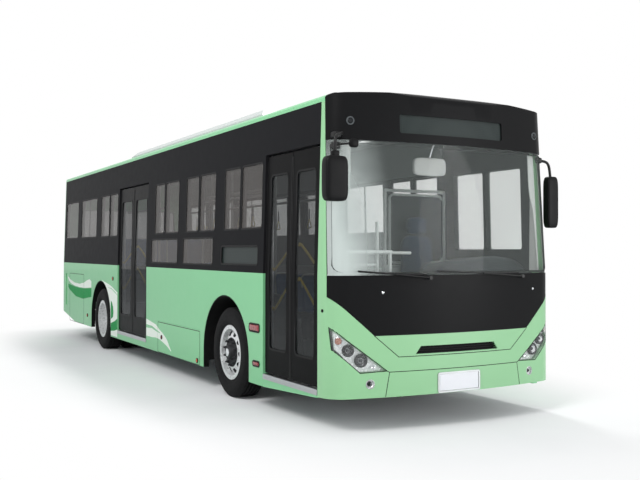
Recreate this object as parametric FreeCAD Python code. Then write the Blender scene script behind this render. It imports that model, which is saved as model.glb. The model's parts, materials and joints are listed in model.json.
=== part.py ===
import FreeCAD, Part
import math
import os

# City bus, 10.5 m long, with two doors on its right side.
# Frame: the front faces -Y, the left side is +X, +Z is up, and the origin is on the
# ground under the middle of the whole bus. All lengths are in millimetres.
# A station s is the distance back from the middle of the front face.

V = FreeCAD.Vector
LEFT, RIGHT = 1, -1

# Overall body
LENGTH = 10500.0
WIDTH = 2500.0
BELT_Z = 1350.0            # seam between the green panels and the dark window band
BAND_TOP_Z = 2860.0        # top of the dark band
ROOF_RISE = 105.0          # the roof's crown above the band's top
ROOF_Z = BAND_TOP_Z + ROOF_RISE
SIDE_LEAN = 40.0           # how far each side leans in from the belt to the band's top
WALL = 60.0                # body wall
ROOF_WALL = 50.0
GLASS = 10.0
MIRROR_REACH = 100.0       # the mirrors stand this far ahead of the front face
FRONT_Y = -(LENGTH + MIRROR_REACH) / 2 + MIRROR_REACH

# Front face
FRONT_BOW = 5300.0         # radius of the bow across the face
FRONT_CORNER = 205.0
FRONT_RAKE = 0.048         # lean back for each unit of height above the belt
FRONT_BOTTOM_Z = 315.0
PILLAR_S = 230.0           # the mask, glass and cap end here, where the corner posts begin
PILLAR_TOP_S = 315.0
ROOF_FRONT_S = 390.0
LOFT_DEPTH = 700.0
SCREEN_BOTTOM_Z = 1360.0
SCREEN_TOP_Z = 2520.0
MASK_SIDE_Z = 1177.0
MASK_HALF = 855.0
MASK_Z = 845.0
FLAP_HALF = 625.0
FLAP_Z = 655.0
SLOT_TOP_HALF, SLOT_TOP_Z = 407.0, 740.0
SLOT_LOW_HALF, SLOT_LOW_Z = 458.0, 672.0
SLAT_DEPTH, SLAT_T, SLAT_HALF = 14.0, 20.0, 390.0
SLAT_GAPS = ((681.0, 693.0), (701.0, 713.0), (721.0, 731.0))
SIGN_HALF = 575.0
SIGN_LOW_Z, SIGN_TOP_Z = 2600.0, 2765.0
SIGN_RECESS = 15.0
HEADLAMP = ((735, 540), (980, 530), (1208, 730), (1224, 924), (1104, 816))
LAMP_DEPTH = 80.0
FOG_X, FOG_Z, FOG_R = 890.0, 433.0, 42.0
TOP_ROUND = 90.0           # rounding between the front face and the roof
LONG_LAMPS = ((1552, 1778, 772, 838), (1552, 1692, 434, 472))   # oblong lamps ahead of the front wheel

# Rear face
REAR_BOW = 14000.0
REAR_CORNER = 130.0
REAR_DEPTH = 180.0
REAR_BOTTOM_Z = 450.0
HATCH_HALF, HATCH_LOW_Z, HATCH_TOP_Z = 900.0, 640.0, 1290.0
REAR_GLASS_HALF, REAR_GLASS_LOW_Z, REAR_GLASS_TOP_Z = 950.0, 1500.0, 2350.0
TAIL_X, TAIL_LOW_Z, TAIL_TOP_Z, TAIL_W = 1040.0, 720.0, 1250.0, 90.0

# Roof
COVE_W, COVE_H = 80.0, 65.0
POD_FRONT_S, POD_REAR_S = 2400.0, LENGTH - 2780
POD_HALF, POD_TOP_Z = 760.0, ROOF_Z + 200
POD_SLOPE = 260.0
POD_CHAMFER = 70.0

# Sides
SKIRT_Z = 250.0
TAIL_SKIRT = ((LENGTH - 2278, 300), (LENGTH - 1087, 304), (LENGTH - 689, 367), (LENGTH - 180, 440))
FRONT_DOOR = (358.0, 1467.0)
MID_DOOR = (LENGTH - 5288, LENGTH - 3862)
DOOR_TOP_Z = 2500.0
WINDOW_LOW_Z, WINDOW_TOP_Z = 1792.0, 2438.0
LOW_WINDOW_Z = (1414.0, 1715.0)
CORNER_R = 35.0
RIGHT_WINDOWS = ((1521, 2030), (2068, 2492), (2753, 3240), (3278, 3695), (3956, 4474), (4512, 4894))
RIGHT_LOW_WINDOWS = ((2798, 3779), (3978, 5022))
LEFT_WINDOWS = ((1900, 2400), (2438, 2900), (3050, 4050), (4200, 5200), (5350, 6350))
AFT_WINDOWS = ((3796, 3350), (3312, 2813), (2538, 1481), (1248, 317))   # measured from the rear
LEFT_AFT_WINDOWS = ((3796, 2813), (2538, 1481), (1248, 317))
DRIVER_WINDOW = ((500, 1050), (1088, 1600))
DRIVER_WINDOW_Z = (1580.0, 2420.0)
SIDE_SIGN = (1600.0, 2552.0, 1427.0, 1617.0)
SERVICE_FLAP = (3178.0, min(4709.0, MID_DOOR[0] - 100), 250.0, 660.0)
REAR_FLAP = (LENGTH - 1749, LENGTH - 679, 250.0, 1176.0)
FLAP_T = 25.0
FLAP_HINGE_R = 6.0         # rounded top edge, turning about the middle of its curve
SIDE_GRILLE = (LENGTH - 500, LENGTH - 350, 570.0, 1150.0)
SIDE_GRILLE_DEPTH = 12.0
FLAP_GAP = 5.0
HINGE_GAP = 0.5

# Floor and frame
FLOOR_Z = 370.0
FLOOR_T = 40.0
STEP_S, HIGH_FLOOR_Z = LENGTH - 3600, 760.0
ENGINE_STEP_S, ENGINE_FLOOR_Z = LENGTH - 1850, 1150.0
CAB_X, CAB_S, CAB_Z = 300.0, (420.0, 1760.0), 560.0
RAIL_X, RAIL_W, RAIL_H = 430.0, 80.0, 80.0
CROSS_W = 60.0
CROSS_LOW_S = (440, 1300, 2150, 2700, 3600, 4500, 5400, 6200)
CROSS_HIGH_S = (LENGTH - 3250, LENGTH - 2450, LENGTH - 1900, LENGTH - 300)
ENGINE_S, ENGINE_Z = (LENGTH - 1780, LENGTH - 380), (430.0, 1090.0)
TOW_S, TOW_T, TOW_R = 325.0, 30.0, 21.0
RAIL_FRONT_S = 430.0
TOW_Z = FLOOR_Z - FLOOR_T - RAIL_H / 2 - 0.25
JACK_X, JACK_HALF, JACK_Z = 430.0, 50.0, 392.0

# Wheels
FRONT_AXLE_S, REAR_AXLE_S = 2430.0, LENGTH - 2885
TYRE_R, TYRE_W = 479.0, 275.0
RIM_R, RIM_BORE_R, RIM_HALF = 292.0, 250.0, 115.0
FRONT_INSET, REAR_INSET = 40.0, 12.0
TWIN_SPACING = 320.0
FRONT_WHEEL_X = WIDTH / 2 - FRONT_INSET - TYRE_W / 2
REAR_WHEEL_X = WIDTH / 2 - REAR_INSET - TYRE_W / 2
HAND_HOLES, HAND_HOLE_R = 10, 26.0
FRONT_ARCH, FRONT_ARCH_TOP_Z = 631.0, 1094.0
REAR_ARCH, REAR_ARCH_TOP_Z = 607.0, 1089.0
HOUSING_T = 15.0
HOUSING_X = 630.0
KINGPIN_X, KINGPIN_R = 905.0, 22.0
PIN_PLAY = 0.4
SPINDLE_R, SPINDLE_PLAY = 38.0, 0.05
ARM_S, ARM_Z = 185.0, 212.0
STUB_R = 50.0

# Doors
DOOR_RECESS = 20.0
LEAF_T = 30.0
LEAF_LOW_Z, LEAF_TOP_Z = 390.0, 2480.0
JAMB_GAP, MEET_GAP = 15.0, 10.0
POST_R = 16.0
POST_GAP = 48.0            # from a leaf's edge to the middle of its post
PIVOT_IN = 66.0            # from a leaf's inner face to the line of post and pivots
PIVOT_SHARE = 0.85         # leading part of the leaf over the arm's length
ARM_W, ARM_T = 28.0, 8.0     # the arms run under and over the leaf
LOW_ARM_Z, TOP_ARM_Z = 376.0, 2486.0
TONGUE_T = 12.0
PIVOT_PIN_R, PIVOT_PLAY = 7.0, 0.4
LEAF_GLASS_Z = (625.0, 2295.0)
LEAF_FRAME = 85.0
OPERATOR_DEPTH, OPERATOR_H = 170.0, 180.0
SKIRT_SLOPE = (305.0, 248.0)   # lower edge of the green strip under the front doorway
FIT = 0.3                  # play between parts that turn or slide on each other


def at(s):
    """Y of a station."""
    return FRONT_Y + s


def box(x0, x1, s0, s1, z0, z1):
    """A block between two widths, stations and heights."""
    return Part.makeBox(abs(x1 - x0), s1 - s0, z1 - z0, V(min(x0, x1), at(s0), z0))


def prism(points, direction):
    """A polygon of vectors carried along a direction."""
    return Part.Face(Part.makePolygon(points + [points[0]])).extrude(direction)


def prism_x(outline, x0, x1):
    """An outline of (station, height) carried from x0 to x1."""
    return prism([V(x0, at(s), z) for s, z in outline], V(x1 - x0, 0, 0))


def prism_y(outline, s0, s1):
    """An outline of (x, height) carried from one station to another."""
    return prism([V(x, at(s0), z) for x, z in outline], V(0, s1 - s0, 0))


def tube_between(a, b, radius):
    """A round bar from point a to point b."""
    return Part.makeCylinder(radius, (b - a).Length, a, b - a)


def mirrored(shape):
    """The same shape on the other side of the bus."""
    return shape.mirror(V(0, 0, 0), V(1, 0, 0))


def both(shape):
    """A shape and its mirror image."""
    return [shape, mirrored(shape)]


def fused(shapes):
    """One solid made of touching or crossing shapes."""
    result = shapes[0]
    for shape in shapes[1:]:
        result = result.fuse(shape)
    return result.removeSplitter()


def cut(shape, tools):
    """A shape less several others."""
    for tool in tools:
        shape = shape.cut(tool)
    return shape


def save(name, shapes):
    """Write one node, given a shape or a list of shapes that don't touch."""
    solids = []
    for shape in shapes if isinstance(shapes, list) else [shapes]:
        solids += shape.Solids
    for solid in solids:
        if not solid.isValid():
            print("invalid solid in", name)
    Part.makeCompound(solids).exportStep("parts/%s.step" % name)
    print("%-24s solids %2d volume %.4f m3" % (name, len(solids), sum(q.Volume for q in solids) / 1e9))


def half_width(z):
    """Half the body's width at a height: upright to the belt, then leaning in."""
    rise = max(0.0, z - BELT_Z) / (BAND_TOP_Z - BELT_Z)
    return WIDTH / 2 - SIDE_LEAN * rise


def side_slab(side, outer, inner, s0, s1, z0, z1):
    """A stretch of side wall between two depths under the body's skin."""
    heights = [z0] + ([BELT_Z] if z0 < BELT_Z < z1 else []) + [z1]
    skin = [(side * (half_width(z) - outer), z) for z in heights]
    back = [(side * (half_width(z) - inner), z) for z in reversed(heights)]
    return prism_y(skin + back, s0, s1)


def rounded_cutter(side, s0, s1, z0, z1, radius):
    """A window-shaped tool with round corners that passes through a side wall."""
    tool = box(side * (WIDTH / 2 - 300), side * (WIDTH / 2 + 100), s0, s1, z0, z1)
    upright = [e for e in tool.Edges if abs(e.tangentAt(e.FirstParameter).x) > 0.9]
    return tool.makeFillet(radius, upright)


def front_cutter(half, z0, z1, s0, s1, radius):
    """A window-shaped tool that passes through the front or rear wall."""
    tool = box(-half, half, s0, s1, z0, z1)
    long_edges = [e for e in tool.Edges if abs(e.tangentAt(e.FirstParameter).y) > 0.9]
    return tool.makeFillet(radius, long_edges)


def plan_wire(front, z, inset, depth):
    """The body's outline at one end, seen from above, at a depth under the skin."""
    bow = (FRONT_BOW if front else REAR_BOW) - inset
    corner = (FRONT_CORNER if front else REAR_CORNER) - inset
    half = half_width(z) - inset
    apex = inset + (FRONT_RAKE * max(0.0, z - BELT_Z) if front else 0.0)
    centre_x = half - corner
    centre_s = apex + bow - math.sqrt((bow - corner) ** 2 - centre_x ** 2)
    share = bow / (bow - corner)
    touch_x = centre_x * share
    touch_s = apex + bow + (centre_s - apex - bow) * share
    mid_x, mid_s = touch_x - centre_x + corner, touch_s - centre_s
    scale = corner / math.hypot(mid_x, mid_s)
    mid_x, mid_s = centre_x + mid_x * scale, centre_s + mid_s * scale

    def point(x, s):
        return V(x, at(s) if front else at(LENGTH - s), z)

    edges = [
        Part.makeLine(point(-half, depth), point(-half, centre_s)),
        Part.Arc(point(-half, centre_s), point(-mid_x, mid_s), point(-touch_x, touch_s)).toShape(),
        Part.Arc(point(-touch_x, touch_s), point(0, apex), point(touch_x, touch_s)).toShape(),
        Part.Arc(point(touch_x, touch_s), point(mid_x, mid_s), point(half, centre_s)).toShape(),
        Part.makeLine(point(half, centre_s), point(half, depth)),
        Part.makeLine(point(half, depth), point(-half, depth)),
    ]
    return Part.Wire(edges)


def envelope(front, inset, z0, z1, depth):
    """The space inside one end of the body, at a depth under its skin."""
    heights = [z0] + ([BELT_Z] if z0 < BELT_Z < z1 else []) + [z1]
    solid = Part.makeLoft([plan_wire(front, z, inset, LOFT_DEPTH) for z in heights], True, True)
    near = box(-WIDTH, WIDTH, -500, depth, z0 - 10, z1 + 10)
    return solid.common(near if front else near.mirror(V(0, at(LENGTH / 2), 0), V(0, 1, 0)))


def shell(front, outer, inner, z0, z1, depth):
    """The wall at one end of the body between two depths under the skin."""
    solid = envelope(front, outer, z0, z1, depth)
    return solid.cut(envelope(front, inner, z0 - 1, z1 + 1, depth + 1))


def roof_space(inset, s0, s1, low_z):
    """The space under the roof's skin, from low_z up, between two stations."""
    edge = half_width(BAND_TOP_Z) - inset
    wide = WIDTH / 2 + 100
    cove_x = edge - COVE_W + 0.4 * inset
    cove_z = BAND_TOP_Z + COVE_H - 0.7 * inset
    top = ROOF_Z - inset
    y = at(s0)
    rise = cove_z - BAND_TOP_Z
    corner = [V(side * edge, y, BAND_TOP_Z) for side in (RIGHT, LEFT)]
    bend = [V(side * (edge - 0.22 * (edge - cove_x)), y, BAND_TOP_Z + 0.7 * rise) for side in (RIGHT, LEFT)]
    cove = [V(side * cove_x, y, cove_z) for side in (RIGHT, LEFT)]
    if inset > 0:
        foot = [V(side * edge, y, low_z) for side in (RIGHT, LEFT)]
        lower = [Part.makeLine(corner[1], foot[1]), Part.makeLine(foot[1], foot[0]),
                 Part.makeLine(foot[0], corner[0])]
    else:
        out = [V(side * wide, y, BAND_TOP_Z) for side in (RIGHT, LEFT)]
        foot = [V(side * wide, y, low_z) for side in (RIGHT, LEFT)]
        lower = [Part.makeLine(corner[1], out[1]), Part.makeLine(out[1], foot[1]),
                 Part.makeLine(foot[1], foot[0]), Part.makeLine(foot[0], out[0]),
                 Part.makeLine(out[0], corner[0])]
    upper = [Part.Arc(corner[0], bend[0], cove[0]).toShape(),
             Part.Arc(cove[0], V(0, y, top), cove[1]).toShape(),
             Part.Arc(cove[1], bend[1], corner[1]).toShape()]
    return Part.Face(Part.Wire(upper + lower)).extrude(V(0, s1 - s0, 0))


def top_rounding(front, inset):
    """The space bounded by the curve from an end face to the roof."""
    lean = FRONT_RAKE * (ROOF_Z - BELT_Z) if front else 0.0
    face, crown = lean + inset, ROOF_Z - inset
    radius = TOP_ROUND - 0.5 * inset

    def point(s, z):
        return V(-WIDTH, at(s) if front else at(LENGTH - s), z)

    turn = radius * (1 - math.sqrt(0.5))
    outline = [Part.Arc(point(face, crown - radius), point(face + turn, crown - turn),
                        point(face + radius, crown)).toShape()]
    corners = [(face + radius, crown), (1500, crown), (1500, 200), (-400, 200), (-400, crown - radius),
               (face, crown - radius)]
    for a, b in zip(corners, corners[1:]):
        outline.append(Part.makeLine(point(*a), point(*b)))
    return Part.Face(Part.Wire(outline)).extrude(V(2 * WIDTH, 0, 0))


def arch_tool(axle_s, half, top_z, extra, x0, x1):
    """A wheel arch: a half circle on upright sides, grown by an extra thickness."""
    centre_z = top_z - half
    radius = half + extra
    a, b = V(x0, at(axle_s - radius), centre_z), V(x0, at(axle_s + radius), centre_z)
    c, d = V(x0, at(axle_s + radius), 0), V(x0, at(axle_s - radius), 0)
    edges = [Part.Arc(a, V(x0, at(axle_s), centre_z + radius), b).toShape(),
             Part.makeLine(b, c), Part.makeLine(c, d), Part.makeLine(d, a)]
    return Part.Face(Part.Wire(edges)).extrude(V(x1 - x0, 0, 0))


def front_zone(gap):
    """The space ahead of the corner posts, which the mask, glass and cap fill."""
    outline = [(-400, 0), (PILLAR_S - gap, 0), (PILLAR_S - gap, BELT_Z), (PILLAR_TOP_S - gap, BAND_TOP_Z),
               (PILLAR_TOP_S + 12 - gap, ROOF_Z + 100), (-400, ROOF_Z + 100)]
    return prism_x(outline, -WIDTH, WIDTH)


def mirror_outline(half_points):
    """A closed outline from its right half, listed from top to bottom."""
    return [(x, z) for x, z in half_points] + [(-x, z) for x, z in reversed(half_points)]


def mask_outline(top_z):
    """The dark lower mask as far up as top_z, with its slanting lower corners."""
    wide = WIDTH / 2 + 50
    return mirror_outline([(wide, top_z), (wide, MASK_SIDE_Z), (WIDTH / 2 - 17, MASK_SIDE_Z),
                           (MASK_HALF, MASK_Z)])


def front_body():
    """Corner posts and bumper, mask, grille panel, lamps, glass, cap and sign."""
    depth = FRONT_DOOR[0]
    zone = front_zone(0)
    skin = shell(True, 0, WALL, FRONT_BOTTOM_Z, BAND_TOP_Z, depth)
    above = prism_y(mask_outline(ROOF_Z + 50), -100, depth).common(zone)
    panel_area = prism_y(mirror_outline([(MASK_HALF, MASK_Z), (FLAP_HALF, FLAP_Z)]), -100, depth)
    lamp_area = both(prism_y(HEADLAMP, -50, depth - 60))
    fog_area = both(Part.makeCylinder(FOG_R, depth, V(FOG_X, at(-50), FOG_Z), V(0, 1, 0)))
    surround = cut(skin, [above, panel_area] + lamp_area + fog_area)
    save("front_surround", surround)

    lower = shell(True, 0, WALL, FRONT_BOTTOM_Z, SCREEN_BOTTOM_Z, depth)
    mask = lower.common(prism_y(mask_outline(SCREEN_BOTTOM_Z), -100, depth)).common(zone)
    slot = prism_y(mirror_outline([(SLOT_TOP_HALF, SLOT_TOP_Z), (SLOT_LOW_HALF, SLOT_LOW_Z)]), -100, depth)
    slats = shell(True, SLAT_DEPTH, SLAT_DEPTH + SLAT_T, FRONT_BOTTOM_Z, BELT_Z, depth).common(slot)
    slats = cut(slats, [box(-SLAT_HALF, SLAT_HALF, -100, depth, z0, z1) for z0, z1 in SLAT_GAPS])
    save("front_mask", [mask, slats])
    save("grille_panel", lower.common(panel_area).cut(slot))

    lens = shell(True, 0, LAMP_DEPTH, FRONT_BOTTOM_Z, BELT_Z, depth)
    save("headlamps", [lens.common(area) for area in lamp_area + fog_area])

    upper = shell(True, 0, GLASS, SCREEN_BOTTOM_Z, SCREEN_TOP_Z, depth)
    save("windscreen", upper.common(zone))

    depth = ROOF_FRONT_S
    cap = envelope(True, 0, SCREEN_TOP_Z, ROOF_Z + 60, depth).common(roof_space(0, -100, depth, BELT_Z))
    cap = cap.common(top_rounding(True, 0))
    hollow = envelope(True, WALL, SCREEN_TOP_Z - 1, ROOF_Z + 60, depth + 1)
    hollow = hollow.common(roof_space(ROOF_WALL, -100, depth + 1, BELT_Z)).common(top_rounding(True, WALL))
    cap = cap.cut(hollow)
    roof_end = cap.cut(zone).common(box(-WIDTH, WIDTH, 0, depth, BAND_TOP_Z, ROOF_Z + 60))
    sign_area = front_cutter(SIGN_HALF, SIGN_LOW_Z, SIGN_TOP_Z, -100, depth, 20)
    save("front_cap", cap.common(zone).cut(sign_area))
    sign = shell(True, SIGN_RECESS, SIGN_RECESS + 30, SCREEN_TOP_Z, BAND_TOP_Z, depth).common(sign_area)
    return sign, roof_end


def rear_body():
    """Rear wall with its window, engine hatch and lamps."""
    top = ROOF_Z + 60
    skin = envelope(False, 0, REAR_BOTTOM_Z, top, REAR_DEPTH)
    roof_end = roof_space(0, LENGTH - REAR_DEPTH, LENGTH + 100, 0)
    skin = skin.common(roof_end).common(top_rounding(False, 0))
    hollow = envelope(False, WALL, REAR_BOTTOM_Z - 1, top, REAR_DEPTH + 1)
    hollow = hollow.common(roof_space(ROOF_WALL, LENGTH - REAR_DEPTH - 1, LENGTH + 100, 0))
    hollow = hollow.common(top_rounding(False, WALL))
    wall = skin.cut(hollow)
    s0, s1 = LENGTH - REAR_DEPTH, LENGTH + 100
    hatch_area = box(-HATCH_HALF - FLAP_GAP, HATCH_HALF + FLAP_GAP, s0, s1,
                     HATCH_LOW_Z - FLAP_GAP, HATCH_TOP_Z + HINGE_GAP)
    glass_area = front_cutter(REAR_GLASS_HALF, REAR_GLASS_LOW_Z, REAR_GLASS_TOP_Z, s0, s1, 60)
    tail_area = both(box(TAIL_X, TAIL_X + TAIL_W, s0, s1, TAIL_LOW_Z, TAIL_TOP_Z))
    save("rear_panel", cut(wall, [hatch_area, glass_area] + tail_area))
    pane = shell(False, 0, GLASS, REAR_GLASS_LOW_Z - 10, REAR_GLASS_TOP_Z + 10, REAR_DEPTH)
    save("rear_window", pane.common(glass_area))
    lid = shell(False, 0, FLAP_T, HATCH_LOW_Z, HATCH_TOP_Z, REAR_DEPTH)
    save("engine_hatch", lid.common(box(-HATCH_HALF, HATCH_HALF, s0, s1, HATCH_LOW_Z, HATCH_TOP_Z)))
    lens = shell(False, 0, 40, TAIL_LOW_Z - 5, TAIL_TOP_Z + 5, REAR_DEPTH)
    return [lens.common(area) for area in tail_area]


def tail_tool(x0, x1):
    """What is cut away below the skirt behind the rear wheels."""
    last_s, last_z = TAIL_SKIRT[-1]
    outline = [(TAIL_SKIRT[0][0], 0)] + list(TAIL_SKIRT) + [(last_s + 300, last_z), (last_s + 300, 0)]
    return prism_x(outline, x0, x1)


def lower_panels(side, spans):
    """Green side panels under the belt, with their arches and flap openings."""
    solids = []
    x0, x1 = side * (WIDTH / 2 - 200), side * (WIDTH / 2 + 100)
    arches = [arch_tool(FRONT_AXLE_S, FRONT_ARCH, FRONT_ARCH_TOP_Z, 0, x0, x1),
              arch_tool(REAR_AXLE_S, REAR_ARCH, REAR_ARCH_TOP_Z, 0, x0, x1)]
    openings = []
    if side == RIGHT:
        for s0, s1, z0, z1 in (SERVICE_FLAP, REAR_FLAP):
            openings.append(box(x0, x1, s0 - FLAP_GAP, s1 + FLAP_GAP, z0 - FLAP_GAP, z1 + HINGE_GAP))
        openings.append(box(-WIDTH / 2 - 50, -WIDTH / 2 + SIDE_GRILLE_DEPTH, *SIDE_GRILLE))
    for s0, s1 in spans:
        slab = side_slab(side, 0, WALL, s0, s1, SKIRT_Z, BELT_Z)
        solids.append(cut(slab, arches + openings + [tail_tool(x0, x1)]))
    return solids


def flap(span):
    """One lid in the right side, hinged along its rounded top edge at the skin."""
    s0, s1, z0, z1 = span
    x0, x1 = -(WIDTH / 2 - 200), -(WIDTH / 2 + 100)
    lid = side_slab(RIGHT, 0, FLAP_T, s0, s1, z0, z1)
    top_edge = [e for e in lid.Edges if e.BoundBox.ZMin > z1 - 0.1 and e.BoundBox.XMax < -WIDTH / 2 + 0.1]
    return lid.makeFillet(FLAP_HINGE_R, top_edge).cut(tail_tool(x0, x1))


def band(side, spans, top_z, windows):
    """Dark window band with its windows cut, and the panes that fill them."""
    solids, panes = [], []
    tools = [rounded_cutter(side, s0, s1, z0, z1, CORNER_R) for s0, s1, z0, z1 in windows]
    for s0, s1 in spans:
        solids.append(cut(side_slab(side, 0, WALL, s0, s1, BELT_Z, top_z), tools))
    for tool, (s0, s1, z0, z1) in zip(tools, windows):
        panes.append(side_slab(side, 4, 4 + GLASS, s0 - 5, s1 + 5, z0 - 5, z1 + 5).common(tool))
    return solids, panes


def within(spans, limit):
    """The spans that end ahead of a station."""
    return tuple(span for span in spans if span[1] < limit)


def sides():
    """Both sides of the body, their flaps and their side sign."""
    rear_s = LENGTH - REAR_DEPTH
    right_spans = ((FRONT_DOOR[1], MID_DOOR[0]), (MID_DOOR[1], rear_s))
    left_spans = ((FRONT_DOOR[0], rear_s),)
    save("right_panels", lower_panels(RIGHT, right_spans))
    save("left_panels", lower_panels(LEFT, ((FRONT_DOOR[0], MID_DOOR[0]), (MID_DOOR[0] + FIT, rear_s))))
    save("service_flap", flap(SERVICE_FLAP))
    save("rear_flap", flap(REAR_FLAP))

    limit = MID_DOOR[0] - 100
    aft = tuple((LENGTH - a, LENGTH - b) for a, b in AFT_WINDOWS)
    high = [(s0, s1, WINDOW_LOW_Z, WINDOW_TOP_Z) for s0, s1 in within(RIGHT_WINDOWS, limit) + aft]
    low = [(s0, s1) + LOW_WINDOW_Z for s0, s1 in within(RIGHT_LOW_WINDOWS, limit)]
    sign = rounded_cutter(RIGHT, *SIDE_SIGN, 15)
    solids, panes = band(RIGHT, right_spans, DOOR_TOP_Z, high + low)
    save("right_band", [solid.cut(sign) for solid in solids])
    save("right_windows", panes)
    s0, s1, z0, z1 = SIDE_SIGN
    side_sign = side_slab(RIGHT, SIGN_RECESS, SIGN_RECESS + 30, s0 - 5, s1 + 5, z0 - 5, z1 + 5).common(sign)

    aft = tuple((LENGTH - a, LENGTH - b) for a, b in LEFT_AFT_WINDOWS)
    high = [(s0, s1, WINDOW_LOW_Z, WINDOW_TOP_Z) for s0, s1 in within(LEFT_WINDOWS, aft[0][0] - 100) + aft]
    cab = [(s0, s1) + DRIVER_WINDOW_Z for s0, s1 in DRIVER_WINDOW]
    solids, panes = band(LEFT, left_spans, BAND_TOP_Z, high + cab)
    save("left_band", solids)
    save("left_windows", panes)

    rail = side_slab(RIGHT, 0, WALL, FRONT_DOOR[0], rear_s, DOOR_TOP_Z, BAND_TOP_Z)
    covers = []
    for s0, s1 in (FRONT_DOOR, MID_DOOR):
        inner = half_width(DOOR_TOP_Z) - WALL
        covers.append(box(-inner, -inner + OPERATOR_DEPTH, s0 - 50, s1 + POST_GAP + 20,
                          DOOR_TOP_Z, DOOR_TOP_Z + OPERATOR_H))
    corner = box(-WIDTH, -half_width(BAND_TOP_Z) + WALL + 30, 0, FRONT_DOOR[0], 0, ROOF_Z)
    save("right_cantrail", fused([rail] + [cover.fuse(bridge(cover)).cut(corner) for cover in covers]))
    return side_sign


def door_skirts():
    """Green strips under the two doorways."""
    outer, inner = -WIDTH / 2, -WIDTH / 2 + WALL
    top = FLOOR_Z - FLOOR_T
    (s0, s1), (s2, s3) = FRONT_DOOR, MID_DOOR
    front = prism_x([(s0, top), (s0, SKIRT_SLOPE[0]), (s1, SKIRT_SLOPE[1]), (s1, top)], outer, inner)
    save("door_skirts", [front, box(outer, inner, s2, s3, SKIRT_Z, top)])


def bridge(cover):
    """Fill between an operator cover and the leaning wall behind it."""
    edge = cover.BoundBox
    low, high = half_width(DOOR_TOP_Z) - WALL, half_width(DOOR_TOP_Z + OPERATOR_H) - WALL
    outline = [V(-low, edge.YMin, edge.ZMin), V(-low, edge.YMin, edge.ZMax), V(-high, edge.YMin, edge.ZMax)]
    return prism(outline, V(0, edge.YLength, 0))


def roof(front_end):
    """Roof skin with its end over the front corner posts, and the white pod on it."""
    s0, s1 = ROOF_FRONT_S, LENGTH - REAR_DEPTH
    skin = roof_space(0, s0, s1, BAND_TOP_Z - 100)
    skin = skin.cut(roof_space(ROOF_WALL, s0 - 1, s1 + 1, BAND_TOP_Z - 100))
    skin = skin.common(box(-WIDTH, WIDTH, s0, s1, BAND_TOP_Z, ROOF_Z + 10))
    save("roof", fused([skin, front_end]))
    low = ROOF_Z - 120
    section = [(POD_HALF, low), (POD_HALF, POD_TOP_Z - POD_CHAMFER), (POD_HALF - POD_CHAMFER, POD_TOP_Z)]
    pod = prism_y(section + [(-x, z) for x, z in reversed(section)], POD_FRONT_S, POD_REAR_S)
    side_view = [(POD_FRONT_S, low), (POD_FRONT_S, ROOF_Z + 30), (POD_FRONT_S + POD_SLOPE, POD_TOP_Z),
                 (POD_REAR_S - POD_SLOPE, POD_TOP_Z), (POD_REAR_S, ROOF_Z + 30), (POD_REAR_S, low)]
    pod = pod.common(prism_x(side_view, -POD_HALF, POD_HALF))
    save("roof_pod", pod.cut(roof_space(0, POD_FRONT_S - 10, POD_REAR_S + 10, low - 100)))


def wheel_housings():
    """Arch-shaped boxes over the wheels, open below, with a lip inside each arch's edge."""
    lip_x = WIDTH / 2 - 2
    solids = []
    for axle_s, half, top_z, below, aft_z in (
            (FRONT_AXLE_S, FRONT_ARCH, FRONT_ARCH_TOP_Z, FLOOR_Z - FLOOR_T, SKIRT_Z),
            (REAR_AXLE_S, REAR_ARCH, REAR_ARCH_TOP_Z, HIGH_FLOOR_Z - FLOOR_T, TAIL_SKIRT[0][1])):
        whole = arch_tool(axle_s, half, top_z, 0, HOUSING_X - HOUSING_T, lip_x)
        hollow = arch_tool(axle_s, half, top_z, -HOUSING_T, HOUSING_X, lip_x + 1)
        s0, s1 = axle_s - half - 100, axle_s + half + 100
        outside = [box(0, WIDTH / 2 - WALL, s0, s1, 0, below), box(0, WIDTH, s0, axle_s, 0, SKIRT_Z),
                   box(0, WIDTH, axle_s, s1, 0, aft_z)]
        solids += both(cut(whole, [hollow] + outside))
    save("wheel_housings", solids)


def arch_reach(half, top_z, z):
    """How far a wheel arch reaches from its axle at a height."""
    rise = max(0.0, z - (top_z - half))
    return math.sqrt(half ** 2 - rise ** 2)


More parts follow.
